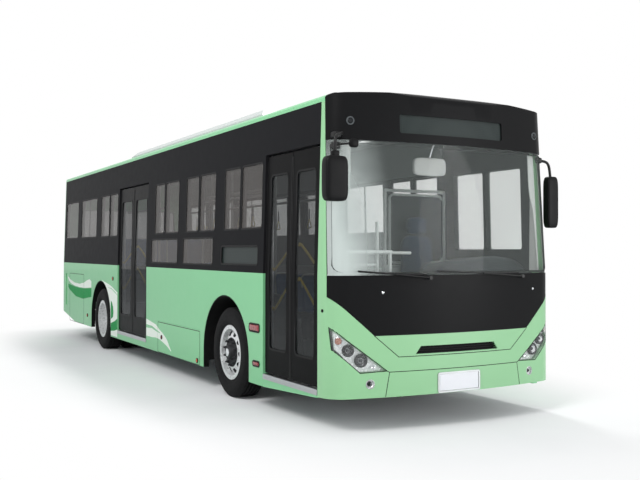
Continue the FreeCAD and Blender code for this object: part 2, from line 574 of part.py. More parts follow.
def floor():
    """Low floor, step, high rear floor and driver's platform, in boards a fine joint apart."""
    t = FLOOR_T
    rear = LENGTH - WALL - 60
    outline = [(CAB_S[0], FLOOR_Z - t), (CAB_S[0], FLOOR_Z), (STEP_S, FLOOR_Z), (STEP_S, HIGH_FLOOR_Z),
               (ENGINE_STEP_S, HIGH_FLOOR_Z), (ENGINE_STEP_S, ENGINE_FLOOR_Z), (rear, ENGINE_FLOOR_Z),
               (rear, ENGINE_FLOOR_Z - t), (ENGINE_STEP_S + t, ENGINE_FLOOR_Z - t),
               (ENGINE_STEP_S + t, HIGH_FLOOR_Z - t), (STEP_S + t, HIGH_FLOOR_Z - t),
               (STEP_S + t, FLOOR_Z - t)]
    inner = WIDTH / 2 - WALL
    plate = prism_x(outline, -inner, inner)
    nose = envelope(True, WALL, FLOOR_Z - t, FLOOR_Z, CAB_S[0])
    platform = box(CAB_X, inner, CAB_S[0], CAB_S[1], FLOOR_Z, CAB_Z)
    sills = [box(-WIDTH / 2, -inner, s0, s1, FLOOR_Z - t, FLOOR_Z) for s0, s1 in (FRONT_DOOR, MID_DOOR)]
    solid = fused([plate, nose, platform] + sills)

    tools = []
    cross_joints = [(STEP_S + t, HIGH_FLOOR_Z), (ENGINE_STEP_S - FIT, HIGH_FLOOR_Z),
                    (ENGINE_STEP_S + t, ENGINE_FLOOR_Z), (LENGTH - REAR_DEPTH - FIT, ENGINE_FLOOR_Z)]
    for axle_s, half, top_z, z in ((FRONT_AXLE_S, FRONT_ARCH, FRONT_ARCH_TOP_Z, FLOOR_Z),
                                   (REAR_AXLE_S, REAR_ARCH, REAR_ARCH_TOP_Z, HIGH_FLOOR_Z)):
        reach = arch_reach(half, top_z, z - t)
        tools += both(box(HOUSING_X - HOUSING_T, inner + 5, axle_s - reach, axle_s + reach, z - t - 1, z + 1))
        cross_joints += [(axle_s - reach - FIT, z), (axle_s + reach, z)]
    tools += [box(-inner - 5, inner + 5, s, s + FIT, z - t - 1, z + 1) for s, z in cross_joints]
    tools.append(box(-inner, inner, STEP_S, STEP_S + t, FLOOR_Z, FLOOR_Z + FIT))
    tools.append(box(CAB_X, inner, *CAB_S, FLOOR_Z, FLOOR_Z + FIT))
    tools += [box(-inner - FIT, -inner, s0, s1, FLOOR_Z - t, FLOOR_Z) for s0, s1 in (FRONT_DOOR, MID_DOOR)]
    tools.append(shell(False, -1, WALL, ENGINE_FLOOR_Z - 100, ENGINE_FLOOR_Z + 50, REAR_DEPTH))
    tools += both(box(half_width(BAND_TOP_Z) - ROOF_WALL, inner + 5, LENGTH - REAR_DEPTH, LENGTH, 0, 1300))
    save("floor", cut(solid, tools))


def frame_rails():
    """Two frame rails in mitred lengths, kicked up behind the step, with tow lugs and cross members."""
    low_top, high_top = FLOOR_Z - FLOOR_T, HIGH_FLOOR_Z - FLOOR_T
    kick = STEP_S + FLOOR_T + 5
    rise, lap = 100, 60
    rear = LENGTH - 240
    outline = [(RAIL_FRONT_S, low_top - RAIL_H), (RAIL_FRONT_S, low_top), (kick, low_top),
               (kick + rise, high_top), (rear, high_top), (rear, high_top - RAIL_H),
               (kick + rise + lap, high_top - RAIL_H), (kick + lap, low_top - RAIL_H)]
    beams = []
    for side in (LEFT, RIGHT):
        x0, x1 = side * (RAIL_X - RAIL_W / 2), side * (RAIL_X + RAIL_W / 2)
        mitres = [prism_x([(s, z), (s + FIT, z), (s + FIT + lap, z - RAIL_H), (s + lap, z - RAIL_H)], x0, x1)
                  for s, z in ((kick, low_top), (kick + rise, high_top))]
        beams.append(cut(prism_x(outline, x0, x1), mitres))
        x0, x1 = side * (RAIL_X - TOW_T / 2), side * (RAIL_X + TOW_T / 2)
        plate = box(x0, x1, TOW_S, RAIL_FRONT_S - FIT, low_top - RAIL_H, low_top - 0.5)
        nose = Part.makeCylinder(RAIL_H / 2 - 0.25, TOW_T, V(min(x0, x1), at(TOW_S), TOW_Z), V(1, 0, 0))
        hole = Part.makeCylinder(TOW_R, TOW_T + 2, V(min(x0, x1) - 1, at(TOW_S), TOW_Z), V(1, 0, 0))
        beams.append(fused([plate, nose]).cut(hole))
    save("chassis_frame", beams)

    inner = RAIL_X - RAIL_W / 2
    low_bars = [s for s in CROSS_LOW_S if s < STEP_S - 200]
    bars = [box(-inner, inner, s, s + CROSS_W, low_top - RAIL_H, low_top) for s in low_bars]
    bars += [box(-inner, inner, s, s + CROSS_W, high_top - RAIL_H, high_top) for s in CROSS_HIGH_S]
    save("cross_members", bars)


def front_axle():
    """Dropped beam with an eye for the kingpin at each end."""
    z = TYRE_R
    half = [(0, 165), (660, 165), (720, 195), (790, 400), (835, 418), (KINGPIN_X, 418), (KINGPIN_X, 545),
            (800, 545), (720, 470), (640, 240), (0, 240)]
    beam = prism_y(half, FRONT_AXLE_S - 38, FRONT_AXLE_S + 38)
    eye = Part.makeCylinder(42, 140, V(KINGPIN_X, at(FRONT_AXLE_S), z - 70))
    bore = Part.makeCylinder(KINGPIN_R + PIN_PLAY, 200, V(KINGPIN_X, at(FRONT_AXLE_S), z - 100))
    pad = box(RAIL_X - RAIL_W / 2, RAIL_X + RAIL_W / 2, FRONT_AXLE_S - 45, FRONT_AXLE_S + 45, 240,
              FLOOR_Z - FLOOR_T - RAIL_H)
    end = fused([beam, eye, pad]).cut(bore)
    save("front_axle", fused([end, mirrored(end)]))


def knuckle():
    """Left steering knuckle: kingpin, two lugs, web, spindle and steering arm."""
    z, s = TYRE_R, FRONT_AXLE_S
    gap = 70 + FIT
    pin = Part.makeCylinder(KINGPIN_R, 2 * gap + 20, V(KINGPIN_X, at(s), z - gap - 10))
    lugs = [box(KINGPIN_X - 38, 985, s - 35, s + 35, z + gap, z + gap + 25),
            box(KINGPIN_X - 38, 985, s - 35, s + 35, z - gap - 25, z - gap)]
    web = box(960, 985, s - 60, s + 60, z - gap - 25, z + gap + 25)
    spindle = tube_between(V(980, at(s), z), V(FRONT_WHEEL_X + 60, at(s), z), SPINDLE_R)
    arm = box(KINGPIN_X - 18, KINGPIN_X + 18, s, s + ARM_S + 18, z - gap - 25, z - gap)
    drop = box(KINGPIN_X - 18, KINGPIN_X + 18, s + ARM_S - 18, s + ARM_S + 18, ARM_Z, z - gap - 25)
    ball = Part.makeCylinder(8, 30, V(KINGPIN_X, at(s + ARM_S), ARM_Z - 26))
    return fused([pin] + lugs + [web, spindle, arm, drop, ball])


def tie_rod():
    """Rod under the frame that joins the two steering arms."""
    low, top = ARM_Z - 28, ARM_Z - FIT
    y = at(FRONT_AXLE_S + ARM_S)
    mid_z = (low + top) / 2
    rod = tube_between(V(-KINGPIN_X, y, mid_z), V(KINGPIN_X, y, mid_z), 12)
    ends = both(Part.makeCylinder(22, top - low, V(KINGPIN_X, y, low)))
    bores = both(Part.makeCylinder(8 + PIN_PLAY, 60, V(KINGPIN_X, y, low - 10)))
    save("tie_rod", cut(fused([rod] + ends), bores))


def turned(profile, centre_x, axle_s):
    """A closed (radius, offset) profile turned about a wheel's axle."""
    points = [V(centre_x + offset, at(axle_s), TYRE_R + radius) for radius, offset in profile]
    face = Part.Face(Part.makePolygon(points + [points[0]]))
    return face.revolve(V(centre_x, at(axle_s), TYRE_R), V(1, 0, 0), 360)


def tyre(centre_x, axle_s):
    """A tyre: bead seats, bulging walls, shoulders and a flat tread."""
    w = TYRE_W / 2
    half = [(RIM_BORE_R + 12, 104), (RIM_R + 4, 104), (RIM_R + 6, 118), (345, w - 4), (385, w), (425, w - 5),
            (458, w - 22), (TYRE_R, w - 36)]
    return turned(half + [(r, -x) for r, x in reversed(half)], centre_x, axle_s)


def rim_barrel(centre_x, axle_s):
    """The rim's barrel and its two flanges."""
    half = [(RIM_BORE_R, RIM_HALF), (RIM_R, RIM_HALF), (RIM_R, RIM_HALF - 9),
            (RIM_BORE_R + 12, RIM_HALF - 11)]
    return turned(half + [(r, -x) for r, x in reversed(half)], centre_x, axle_s)


def hand_holes(centre_x, axle_s, radius):
    """The ring of round holes through a wheel's disc."""
    holes = []
    for i in range(HAND_HOLES):
        turn = 2 * math.pi * i / HAND_HOLES
        base = V(centre_x, at(axle_s) + radius * math.cos(turn), TYRE_R + radius * math.sin(turn))
        holes.append(Part.makeCylinder(HAND_HOLE_R, 160, base, V(1, 0, 0)))
    return holes


def front_rim():
    """Left front wheel: barrel, outward dish with hand holes, and hub."""
    x, s = FRONT_WHEEL_X, FRONT_AXLE_S
    dish = turned([(RIM_BORE_R + 2, 25), (RIM_BORE_R + 2, 45), (200, 88), (165, 98), (60, 98), (60, 84),
                   (162, 84), (194, 72), (236, 25)], x, s)
    hub = turned([(SPINDLE_R + SPINDLE_PLAY, -70), (95, -70), (95, 84), (78, 98), (78, 128), (60, 140),
                  (0, 140), (0, 62), (SPINDLE_R + SPINDLE_PLAY, 62)], x, s)
    wheel = fused([rim_barrel(x, s), dish, hub])
    return cut(wheel, hand_holes(x + 10, s, 208))


def rear_rims():
    """Left rear twin wheel: two rims back to back on one hub."""
    x, s = REAR_WHEEL_X, REAR_AXLE_S
    mid = -TWIN_SPACING / 2
    outer = turned([(RIM_BORE_R + 2, -95), (RIM_BORE_R + 2, -75), (205, mid + 22), (185, mid + 14),
                    (100, mid + 14), (100, mid), (190, mid), (215, mid + 8)], x, s)
    inner = turned([(RIM_BORE_R + 2, 95), (RIM_BORE_R + 2, 75), (205, -mid - 22), (185, -mid - 14),
                    (100, -mid - 14), (100, -mid), (190, -mid), (215, -mid - 8)], x - TWIN_SPACING, s)
    hub = turned([(STUB_R + SPINDLE_PLAY, mid - 80), (118, mid - 80), (118, mid + 60), (100, mid + 120),
                  (70, mid + 140), (0, mid + 140), (0, mid + 70), (STUB_R + SPINDLE_PLAY, mid + 70)], x, s)
    wheel = fused([rim_barrel(x, s), rim_barrel(x - TWIN_SPACING, s), outer, inner, hub])
    return cut(wheel, hand_holes(x + mid - 60, s, 218))


def rear_axle():
    """Axle tubes, central gear housing and saddles under the rails."""
    s, z = REAR_AXLE_S, TYRE_R
    end_x = REAR_WHEEL_X - TWIN_SPACING / 2 + 65
    half = [(0, end_x), (STUB_R, end_x), (STUB_R, 600), (72, 590), (76, 250), (110, 200), (160, 120),
            (185, 50)]
    casing = turned(half + [(r, -x) for r, x in reversed(half)], 0, s)
    saddles = [box(side * (RAIL_X - 35), side * (RAIL_X + 35), s - 60, s + 60, z + 40,
                   HIGH_FLOOR_Z - FLOOR_T - RAIL_H) for side in (LEFT, RIGHT)]
    pads = [box(side * (JACK_X - JACK_HALF), side * (JACK_X + JACK_HALF), s - JACK_HALF, s + JACK_HALF,
                JACK_Z, z) for side in (LEFT, RIGHT)]
    save("rear_axle", fused([casing] + saddles + pads))


def wheels():
    """All road wheels, their knuckles and the steering linkage."""
    parts = {"knuckle": knuckle(), "front_rim": front_rim(), "front_tyre": tyre(FRONT_WHEEL_X, FRONT_AXLE_S),
             "rear_rims": rear_rims()}
    twins = [tyre(REAR_WHEEL_X, REAR_AXLE_S), tyre(REAR_WHEEL_X - TWIN_SPACING, REAR_AXLE_S)]
    for name, shape in parts.items():
        end, piece = ("front", "knuckle") if name == "knuckle" else name.split("_")
        save("%s_left_%s" % (end, piece), shape)
        save("%s_right_%s" % (end, piece), mirrored(shape))
    save("rear_left_tyres", twins)
    save("rear_right_tyres", [mirrored(shape) for shape in twins])


def door_leaf(door, jamb_s, inward, width):
    """One door leaf with its arms: the post stands behind the jamb and turns.

    jamb_s is the doorway's edge by the post, and inward is +1 where the leaf lies
    behind that edge and -1 where it lies ahead of it.
    """
    edge = jamb_s + inward * JAMB_GAP
    far = edge + inward * width
    s0, s1 = min(edge, far), max(edge, far)
    leaf = side_slab(RIGHT, DOOR_RECESS, DOOR_RECESS + LEAF_T, s0, s1, LEAF_LOW_Z, LEAF_TOP_Z)
    opening = rounded_cutter(RIGHT, s0 + LEAF_FRAME, s1 - LEAF_FRAME, *LEAF_GLASS_Z, CORNER_R)
    pane = side_slab(RIGHT, DOOR_RECESS + 8, DOOR_RECESS + 8 + GLASS, s0, s1,
                     LEAF_LOW_Z + 10, LEAF_TOP_Z - 10).common(opening)
    pivot_x = -(WIDTH / 2 - DOOR_RECESS - LEAF_T - PIVOT_IN)
    lead = (width - PIVOT_SHARE * POST_GAP) / (1 + PIVOT_SHARE)
    post_s = edge - inward * POST_GAP
    pivot_s = edge + inward * lead
    post = Part.makeCylinder(POST_R, DOOR_TOP_Z - FLOOR_Z - 2 * FIT, V(pivot_x, at(post_s), FLOOR_Z + FIT))
    frame = [leaf.cut(opening)]
    arms = [post]
    for arm_z, up in ((LOW_ARM_Z, 1), (TOP_ARM_Z, -1)):
        a, b = sorted((post_s, pivot_s))
        bar = box(pivot_x - ARM_W / 2, pivot_x + ARM_W / 2, a, b, arm_z, arm_z + ARM_T)
        eye = Part.makeCylinder(ARM_W / 2, ARM_T, V(pivot_x, at(pivot_s), arm_z))
        hole = Part.makeCylinder(PIVOT_PIN_R + PIVOT_PLAY, ARM_T + 2, V(pivot_x, at(pivot_s), arm_z - 1))
        arms.append(bar.fuse(eye).cut(hole))
        low, high = (LEAF_LOW_Z, LEAF_LOW_Z + TONGUE_T) if up > 0 else (LEAF_TOP_Z - TONGUE_T, LEAF_TOP_Z)
        skin_x = -(half_width(low) - DOOR_RECESS - LEAF_T) - 5
        tongue = box(skin_x, pivot_x, pivot_s - 20, pivot_s + 20, low, high)
        round_end = Part.makeCylinder(20, TONGUE_T, V(pivot_x, at(pivot_s), low))
        boss_z, pin_z = (arm_z + ARM_T + FIT, arm_z - 0.5) if up > 0 else (low, low)
        boss_h = LEAF_LOW_Z + 1 - boss_z if up > 0 else arm_z - FIT - low
        pin_h = LEAF_LOW_Z + 1 - pin_z if up > 0 else arm_z + ARM_T + 0.5 - low
        boss = Part.makeCylinder(12, boss_h, V(pivot_x, at(pivot_s), boss_z))
        pin = Part.makeCylinder(PIVOT_PIN_R, pin_h, V(pivot_x, at(pivot_s), pin_z))
        frame.append(fused([tongue, round_end, boss, pin]))
    save(door + "_leaf", fused(frame))
    save(door + "_glass", pane)
    save(door + "_post", fused(arms))


def doors():
    """Two leaves in each doorway, each on its own post."""
    for name, (s0, s1) in (("front_door", FRONT_DOOR), ("mid_door", MID_DOOR)):
        width = (s1 - s0 - 2 * JAMB_GAP - MEET_GAP) / 2
        door_leaf(name + "_fore", s0, 1, width)
        door_leaf(name + "_aft", s1, -1, width)


def rounded_block(x0, x1, s0, s1, z0, z1, radius):
    """A block with all its edges rounded."""
    block = box(x0, x1, s0, s1, z0, z1)
    return block.makeFillet(radius, block.Edges)


def bent_bar(points, radius):
    """A round bar through several points, with a ball at each bend."""
    pieces = [tube_between(a, b, radius) for a, b in zip(points, points[1:])]
    pieces += [Part.makeSphere(radius, p) for p in points[1:-1]]
    return fused(pieces)


def mirrors():
    """Two outside mirrors on bent arms, and the round inside mirror."""
    right_head = rounded_block(-1410, -1205, -100, 10, 1976, 2347, 42)
    upper_arm = bent_bar([V(-1130, at(300), 2562), V(-1180, at(60), 2556), V(-1296, at(-40), 2500),
                          V(-1308, at(-45), 2330)], 14)
    lower_arm = bent_bar([V(-1130, at(300), 2468), V(-1200, at(70), 2462), V(-1308, at(-45), 2428)], 12)
    neck = rounded_block(-1342, -1274, -72, -18, 2332, 2392, 12)
    right_arm = fused([upper_arm, lower_arm, neck])
    left_head = rounded_block(1275, 1410, 210, 300, 1800, 2310, 28)
    left_arm = bent_bar([V(1195, at(300), 2470), V(1300, at(255), 2440), V(1342, at(255), 2290)], 13)
    front_wall = envelope(True, -FIT, 1500, ROOF_Z, 2000)
    save("outside_mirrors", [fused([right_head, right_arm]).cut(front_wall),
                             fused([left_head, left_arm]).cut(front_wall)])


def wipers():
    """Two wipers parked along the foot of the windscreen."""
    solids = []
    front_wall = envelope(True, -0.1, 1250, 1500, 600)
    for base_x, tip_x in ((766, -250), (-330, -1010)):
        base_z, tip_z = 1335, 1392

        def surface(x, z):
            lean = FRONT_RAKE * max(0.0, z - BELT_Z)
            return lean + FRONT_BOW - math.sqrt(FRONT_BOW ** 2 - x ** 2)

        def point(x, z, off):
            return V(x, at(surface(x, z) - off), z)

        mid_x, mid_z = (base_x + tip_x) / 2, (base_z + tip_z) / 2 + 6
        spindle = tube_between(point(base_x, base_z, -20), point(base_x, base_z, 42), 16)
        arm = bent_bar([point(base_x, base_z, 34), point(mid_x, mid_z, 36), point(mid_x, mid_z, 24)], 7)
        blade = bent_bar([point(mid_x + (base_x - mid_x) * 0.9, mid_z - 4, 22), point(mid_x, mid_z, 22),
                          point(tip_x, tip_z + 4, 22)], 8)
        solids.append(fused([spindle, arm, blade]).cut(front_wall))
    save("wipers", solids)


def lamps(tail):
    """Rear lamp columns, front marker lamps and side marker lamps."""
    solids = list(tail)
    for side in (LEFT, RIGHT):
        x = side * WIDTH / 2
        for s, z in ((3258, 300), (LENGTH - 3604, 1143), (LENGTH - 2020, 480)):
            solids.append(Part.makeCylinder(22, 12, V(x, at(s), z), V(side, 0, 0)))
        for s0, s1, z0, z1 in LONG_LAMPS:
            lens = box(x, x + side * 12, s0, s1, z0, z1)
            short_edges = [e for e in lens.Edges if abs(e.tangentAt(e.FirstParameter).x) > 0.9]
            solids.append(lens.makeFillet((z1 - z0) / 2 - 1, short_edges))
    save("marker_lamps", solids)


def dashboard():
    """Dashboard across the driver's side, fitted to the front wall's inside."""
    outline = [(0, 1230), (0, 900), (470, 900), (560, CAB_Z), (700, CAB_Z), (760, 900), (740, 1080),
               (600, 1200)]
    desk = prism_x(outline, -500, WIDTH / 2 - WALL)
    return desk.common(envelope(True, WALL, 300, 1500, 2000))


def cab():
    """Dashboard, steering wheel on its column, and driver's seat."""
    desk = dashboard()
    binnacle = prism_x([(600, 1150), (600, 1290), (700, 1260), (750, 1060)], 480, 920)
    save("dashboard", fused([desk, binnacle]))
    centre = V(700, at(1000), 1190)
    axis = V(0, 0.45, 0.89)
    ring = Part.makeTorus(225, 14, centre, axis)
    spokes = [tube_between(centre - V(215, 0, 0), centre + V(215, 0, 0), 12)]
    hub = Part.makeCylinder(55, 50, centre - axis * 40, axis)
    foot = V(700, at(850), 893)
    column = tube_between(foot, centre, 35)
    base = box(640, 760, 700, 900, CAB_Z, 900).cut(desk)
    save("steering_wheel", fused([ring, hub, column, base] + spokes))
    pedestal = box(520, 880, 1290, 1620, CAB_Z, 860)
    cushion = rounded_block(460, 940, 1230, 1720, 860, 980, 35)
    back = rounded_block(480, 920, 1600, 1695, 960, 1760, 40)
    head = rounded_block(570, 830, 1610, 1690, 1740, 1940, 35)
    save("driver_seat", fused([pedestal, cushion, back, head]))


def seat(x0, x1, s, z):
    """One moulded seat for one or two, on a pedestal; s is its front edge."""
    outline = [(s, z + 380), (s, z + 430), (s + 390, z + 400), (s + 470, z + 860), (s + 510, z + 850),
               (s + 430, z + 340), (s + 30, z + 370)]
    shell_part = prism_x(outline, x0, x1)
    middle = (x0 + x1) / 2
    foot = box(middle - 120, middle + 120, s + 120, s + 300, z, z + 390)
    return fused([shell_part, foot])


def passenger_seats():
    """Rows of double seats on both sides and a bench across the back."""
    solids = []
    wall_x = WIDTH / 2 - WALL - 25
    left_rows, right_rows = (3180, 3960, 4740, 5520, 6300), (3180, 3960, 4640)
    for side, rows, limit in ((LEFT, left_rows, STEP_S), (RIGHT, right_rows, MID_DOOR[0])):
        for s in rows:
            if s + 520 < limit:
                solids.append(seat(side * (wall_x - 860), side * wall_x, s, FLOOR_Z))
    s, z = ENGINE_STEP_S + 70, ENGINE_FLOOR_Z
    bench = [(s, z), (s, z + 180), (s + 440, z + 150), (s + 520, z + 640), (s + 580, z + 640), (s + 540, z)]
    solids.append(prism_x(bench, -wall_x + 40, wall_x - 40))
    save("passenger_seats", solids)


def handrails():
    """Floor-to-ceiling posts, overhead rails, front guard rail and driver's screen."""
    post_x, r = 450.0, 17.0
    ceiling = roof_space(ROOF_WALL, 0, LENGTH, 0)
    solids = []
    rear_s = LENGTH - 1800
    left_posts = [s for s in (3120, 4700, 6260) if s < STEP_S - 100]
    right_posts = [3120, MID_DOOR[0] - 37, MID_DOOR[1] + 82]
    left_rails = [(3000, rear_s)]
    right_rails = [(3000, MID_DOOR[0] - 22), (MID_DOOR[1] + 62, rear_s)]
    for side, stations, spans in ((LEFT, left_posts, left_rails), (RIGHT, right_posts, right_rails)):
        for s in stations:
            post = Part.makeCylinder(r, ROOF_Z, V(side * post_x, at(s), FLOOR_Z))
            solids.append(post.common(ceiling))
        for s in (STEP_S + 200, ENGINE_STEP_S - 90):
            post = Part.makeCylinder(r, ROOF_Z, V(side * post_x, at(s), HIGH_FLOOR_Z))
            solids.append(post.common(ceiling))
        x = side * (post_x + 2 * r + 0.2)
        solids += [tube_between(V(x, at(s0), 2230), V(x, at(s1), 2230), r) for s0, s1 in spans]
    guard_y, guard_z = at(290), 1560
    guard = [tube_between(V(-1020, guard_y, guard_z), V(-530, guard_y, guard_z), r)]
    guard += [tube_between(V(x, guard_y, FLOOR_Z), V(x, guard_y, guard_z), r) for x in (-1000, -550)]
    solids.append(fused(guard))
    screen_s = CAB_S[1] - 25
    frame = [tube_between(V(x, at(screen_s), CAB_Z), V(x, at(screen_s), 2250), r) for x in (340, 1140)]
    frame += [tube_between(V(340, at(screen_s), z), V(1140, at(screen_s), z), r) for z in (1400, 2235)]
    frame.append(box(340, 1140, screen_s - 5, screen_s + 5, CAB_Z, 1400))
    solids.append(fused(frame))
    save("handrails", solids)


def power_unit():
    """Engine and gearbox as one plain block between the rear rails."""
    inner = RAIL_X - RAIL_W / 2
    save("power_unit", box(-inner, inner, *ENGINE_S, *ENGINE_Z))


def main():
    front_sign, roof_end = front_body()
    side_sign = sides()
    save("destination_signs", [front_sign, side_sign])
    door_skirts()
    lamps(rear_body())
    roof(roof_end)
    wheel_housings()
    floor()
    frame_rails()
    front_axle()
    rear_axle()
    tie_rod()
    wheels()
    doors()
    mirrors()
    wipers()
    cab()
    passenger_seats()
    handrails()
    power_unit()


os.makedirs("parts", exist_ok=True)
main()
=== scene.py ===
"""City bus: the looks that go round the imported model, laid out as a Blender add-on."""

import json
import math

import bmesh
import bpy
import numpy as np
from mathutils.bvhtree import BVHTree
from bpy.props import FloatProperty, FloatVectorProperty, PointerProperty
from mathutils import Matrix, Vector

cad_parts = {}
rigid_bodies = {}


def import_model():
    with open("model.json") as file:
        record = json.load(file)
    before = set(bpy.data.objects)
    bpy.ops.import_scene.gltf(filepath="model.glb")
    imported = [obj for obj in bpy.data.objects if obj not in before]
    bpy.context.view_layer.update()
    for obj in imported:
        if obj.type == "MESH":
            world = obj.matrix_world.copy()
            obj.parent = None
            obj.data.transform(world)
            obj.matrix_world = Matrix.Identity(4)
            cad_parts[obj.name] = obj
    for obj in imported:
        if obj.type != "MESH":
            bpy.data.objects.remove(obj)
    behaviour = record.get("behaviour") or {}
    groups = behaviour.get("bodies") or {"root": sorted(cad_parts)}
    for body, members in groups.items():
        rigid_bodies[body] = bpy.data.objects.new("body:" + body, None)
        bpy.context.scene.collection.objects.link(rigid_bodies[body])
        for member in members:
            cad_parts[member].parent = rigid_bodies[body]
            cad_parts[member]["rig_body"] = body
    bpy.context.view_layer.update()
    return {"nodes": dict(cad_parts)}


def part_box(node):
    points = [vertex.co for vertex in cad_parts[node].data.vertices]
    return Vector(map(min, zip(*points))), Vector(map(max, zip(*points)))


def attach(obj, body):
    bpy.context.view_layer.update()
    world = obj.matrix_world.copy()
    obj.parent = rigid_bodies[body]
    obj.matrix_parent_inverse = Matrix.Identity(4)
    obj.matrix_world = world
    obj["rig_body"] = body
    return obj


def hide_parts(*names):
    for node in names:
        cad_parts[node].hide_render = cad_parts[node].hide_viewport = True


bl_info = {
    "name": "City bus",
    "version": (1, 0, 0),
    "blender": (4, 5, 0),
    "location": "3D View > Sidebar > City bus",
    "description": "Dresses the packed city bus with glass, paint, trim, tyres and seats",
    "category": "Object",
}

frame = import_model()
NODES = frame["nodes"]

# Sizes in metres. A station is the distance back from the middle of the front face.
FRONT_Y = -5.2
HALF_WIDTH = 1.25
BELT_Z, BAND_TOP_Z = 1.35, 2.86
SIDE_LEAN = 0.04
SIDE_SLOPE = SIDE_LEAN / (BAND_TOP_Z - BELT_Z)
BOW, CORNER, RAKE = 5.3, 0.205, 0.048
LENGTH = 10.5
REAR_BOW, REAR_CORNER = 14.0, 0.13
MASK_LOW_Z, MASK_TURN_Z = 0.845, 1.177
FLOOR_Z = 0.371
AXLES = {"front": 2.43, "rear": 7.615}
WHEEL_X = {"front": 1.0725, "rear": 1.1005}
PLURALS = {"front": "", "rear": "s"}
TWIN_SPACING = 0.32
TYRE_R, TYRE_W = 0.479, 0.275
ARCH_R, ARCH_REACH = 0.607, 0.64
SILL_Z, OVER_ARCH_Z, OVER_ENGINE_Z = 0.385, 1.125, 1.16
HOLE_PITCH = {"front": 0.203, "rear": 0.205}
NUT_PITCH = {"front": 0.135, "rear": 0.150}
NUT_OFFSET = {"front": 0.098, "rear": -0.146}
NUT_FINISH = {"front": "cast iron", "rear": "polished chrome"}
DOOR_RECESS = 0.02
WINDOWS = {
    -1: [(1.521, 2.030), (2.068, 2.492), (2.753, 3.240), (3.278, 3.695), (3.956, 4.474), (4.512, 4.894),
         (6.704, 7.150), (7.188, 7.687), (7.962, 9.019), (9.252, 10.183)],
    1: [(1.900, 2.400), (2.438, 2.900), (3.050, 4.050), (4.200, 5.200), (5.350, 6.350), (6.704, 7.687),
        (7.962, 9.019), (9.252, 10.183)],
}
WINDOW_Z = (1.792, 2.438)
LOW_WINDOWS = [(2.798, 3.779), (3.978, 5.022)]
LOW_WINDOW_Z = (1.414, 1.715)
CAB_WINDOWS = [(0.500, 1.050), (1.088, 1.600)]
CAB_WINDOW_Z = (1.580, 2.420)
SIDE_SIGN = (1.600, 2.552, 1.427, 1.617)
DOORS = {"front_door": (0.358, 1.467), "mid_door": (5.212, 6.638)}
JAMB_GAP, MEET_GAP, LEAF_FRAME = 0.015, 0.010, 0.085
LEAF_GLASS_Z = (0.625, 2.295)
LONG_LAMPS = ((1.552, 1.778, 0.772, 0.838), (1.552, 1.692, 0.434, 0.472))
TAIL_X, TAIL_LOW_Z, TAIL_TOP_Z, TAIL_W = 1.040, 0.720, 1.250, 0.090
ROUND_LAMPS = ((3.258, 0.300), (6.896, 1.143), (8.480, 0.480))
# The headlamp's lower and upper edges, as values of x and of z.
LAMP_LOW = ((0.742, 0.980, 1.204, 1.220), (0.5405, 0.535, 0.733, 0.915))
LAMP_HIGH = ((0.742, 1.104, 1.220), (0.5425, 0.811, 0.917))
SEAT_ROWS = {1: (3.180, 3.960, 4.740, 5.520, 6.300), -1: (3.180, 3.960, 4.640)}
BENCH_S, BENCH_Z = 8.720, 1.150
# A turned profile stops at this radius, so that no faces meet in one point on its axis.
AXIS_R = 0.0005
BEVEL_FROM, MERGE_GAP = math.radians(40), 0.00002

# Settings shared by the noise patterns, the windscreen's alpha where it is clear, and the materials made so far.
FRACTAL = {"Detail": 3.0, "Roughness": 0.55}
CLEAR_ALPHA = 0.045
MADE = {}


# Colour and nodes

def srgb(code):
    """A linear colour with alpha from an sRGB hex code such as "82CB94"."""
    values = [int(code[i:i + 2], 16) / 255 for i in (0, 2, 4)]
    linear = [v / 12.92 if v <= 0.04045 else ((v + 0.055) / 1.055) ** 2.4 for v in values]
    return tuple(linear) + (1.0,)


def put(tree, kind, settings=None, links=None):
    """Add a node, set its properties, ramp stops or input values, and link its inputs.

    A link comes from an output, or from a node's first output.
    """
    node = tree.nodes.new(kind)
    for key, value in (settings or {}).items():
        if key == "stops":
            elements = node.color_ramp.elements
            while len(elements) < len(value):
                elements.new(0.5)
            for element, (position, colour) in zip(elements, value):
                element.position, element.color = position, colour
        elif isinstance(key, str) and hasattr(node, key) and key not in node.inputs:
            setattr(node, key, value)
        else:
            node.inputs[key].default_value = value
    for key, source in (links or {}).items():
        tree.links.new(source.outputs[0] if isinstance(source, bpy.types.Node) else source, node.inputs[key])
    return node


def new_material(name, surface, values=()):
    """A node material whose shader the surface function makes over object coordinates."""
    material = bpy.data.materials.new(name)
    material.use_nodes = True
    tree = material.node_tree
    tree.nodes.clear()
    output = put(tree, "ShaderNodeOutputMaterial")
    place = put(tree, "ShaderNodeTexCoord").outputs["Object"]
    tree.links.new(surface(tree, place, *values).outputs[0], output.inputs["Surface"])
    return material


def shaded(colour, share):
    """A colour darkened to a share of itself."""
    return tuple(share * c for c in colour[:3]) + (1.0,)


def mottled(tree, place, scale, base, share, low=0.3, high=0.7):
    """A colour that varies softly between a share of itself and itself, in patches of 1 / scale metres."""
    patches = put(tree, "ShaderNodeTexNoise", {"Scale": scale, **FRACTAL}, {"Vector": place})
    return put(tree, "ShaderNodeValToRGB", {"stops": [(low, shaded(base, share)), (high, base)]}, {"Fac": patches})


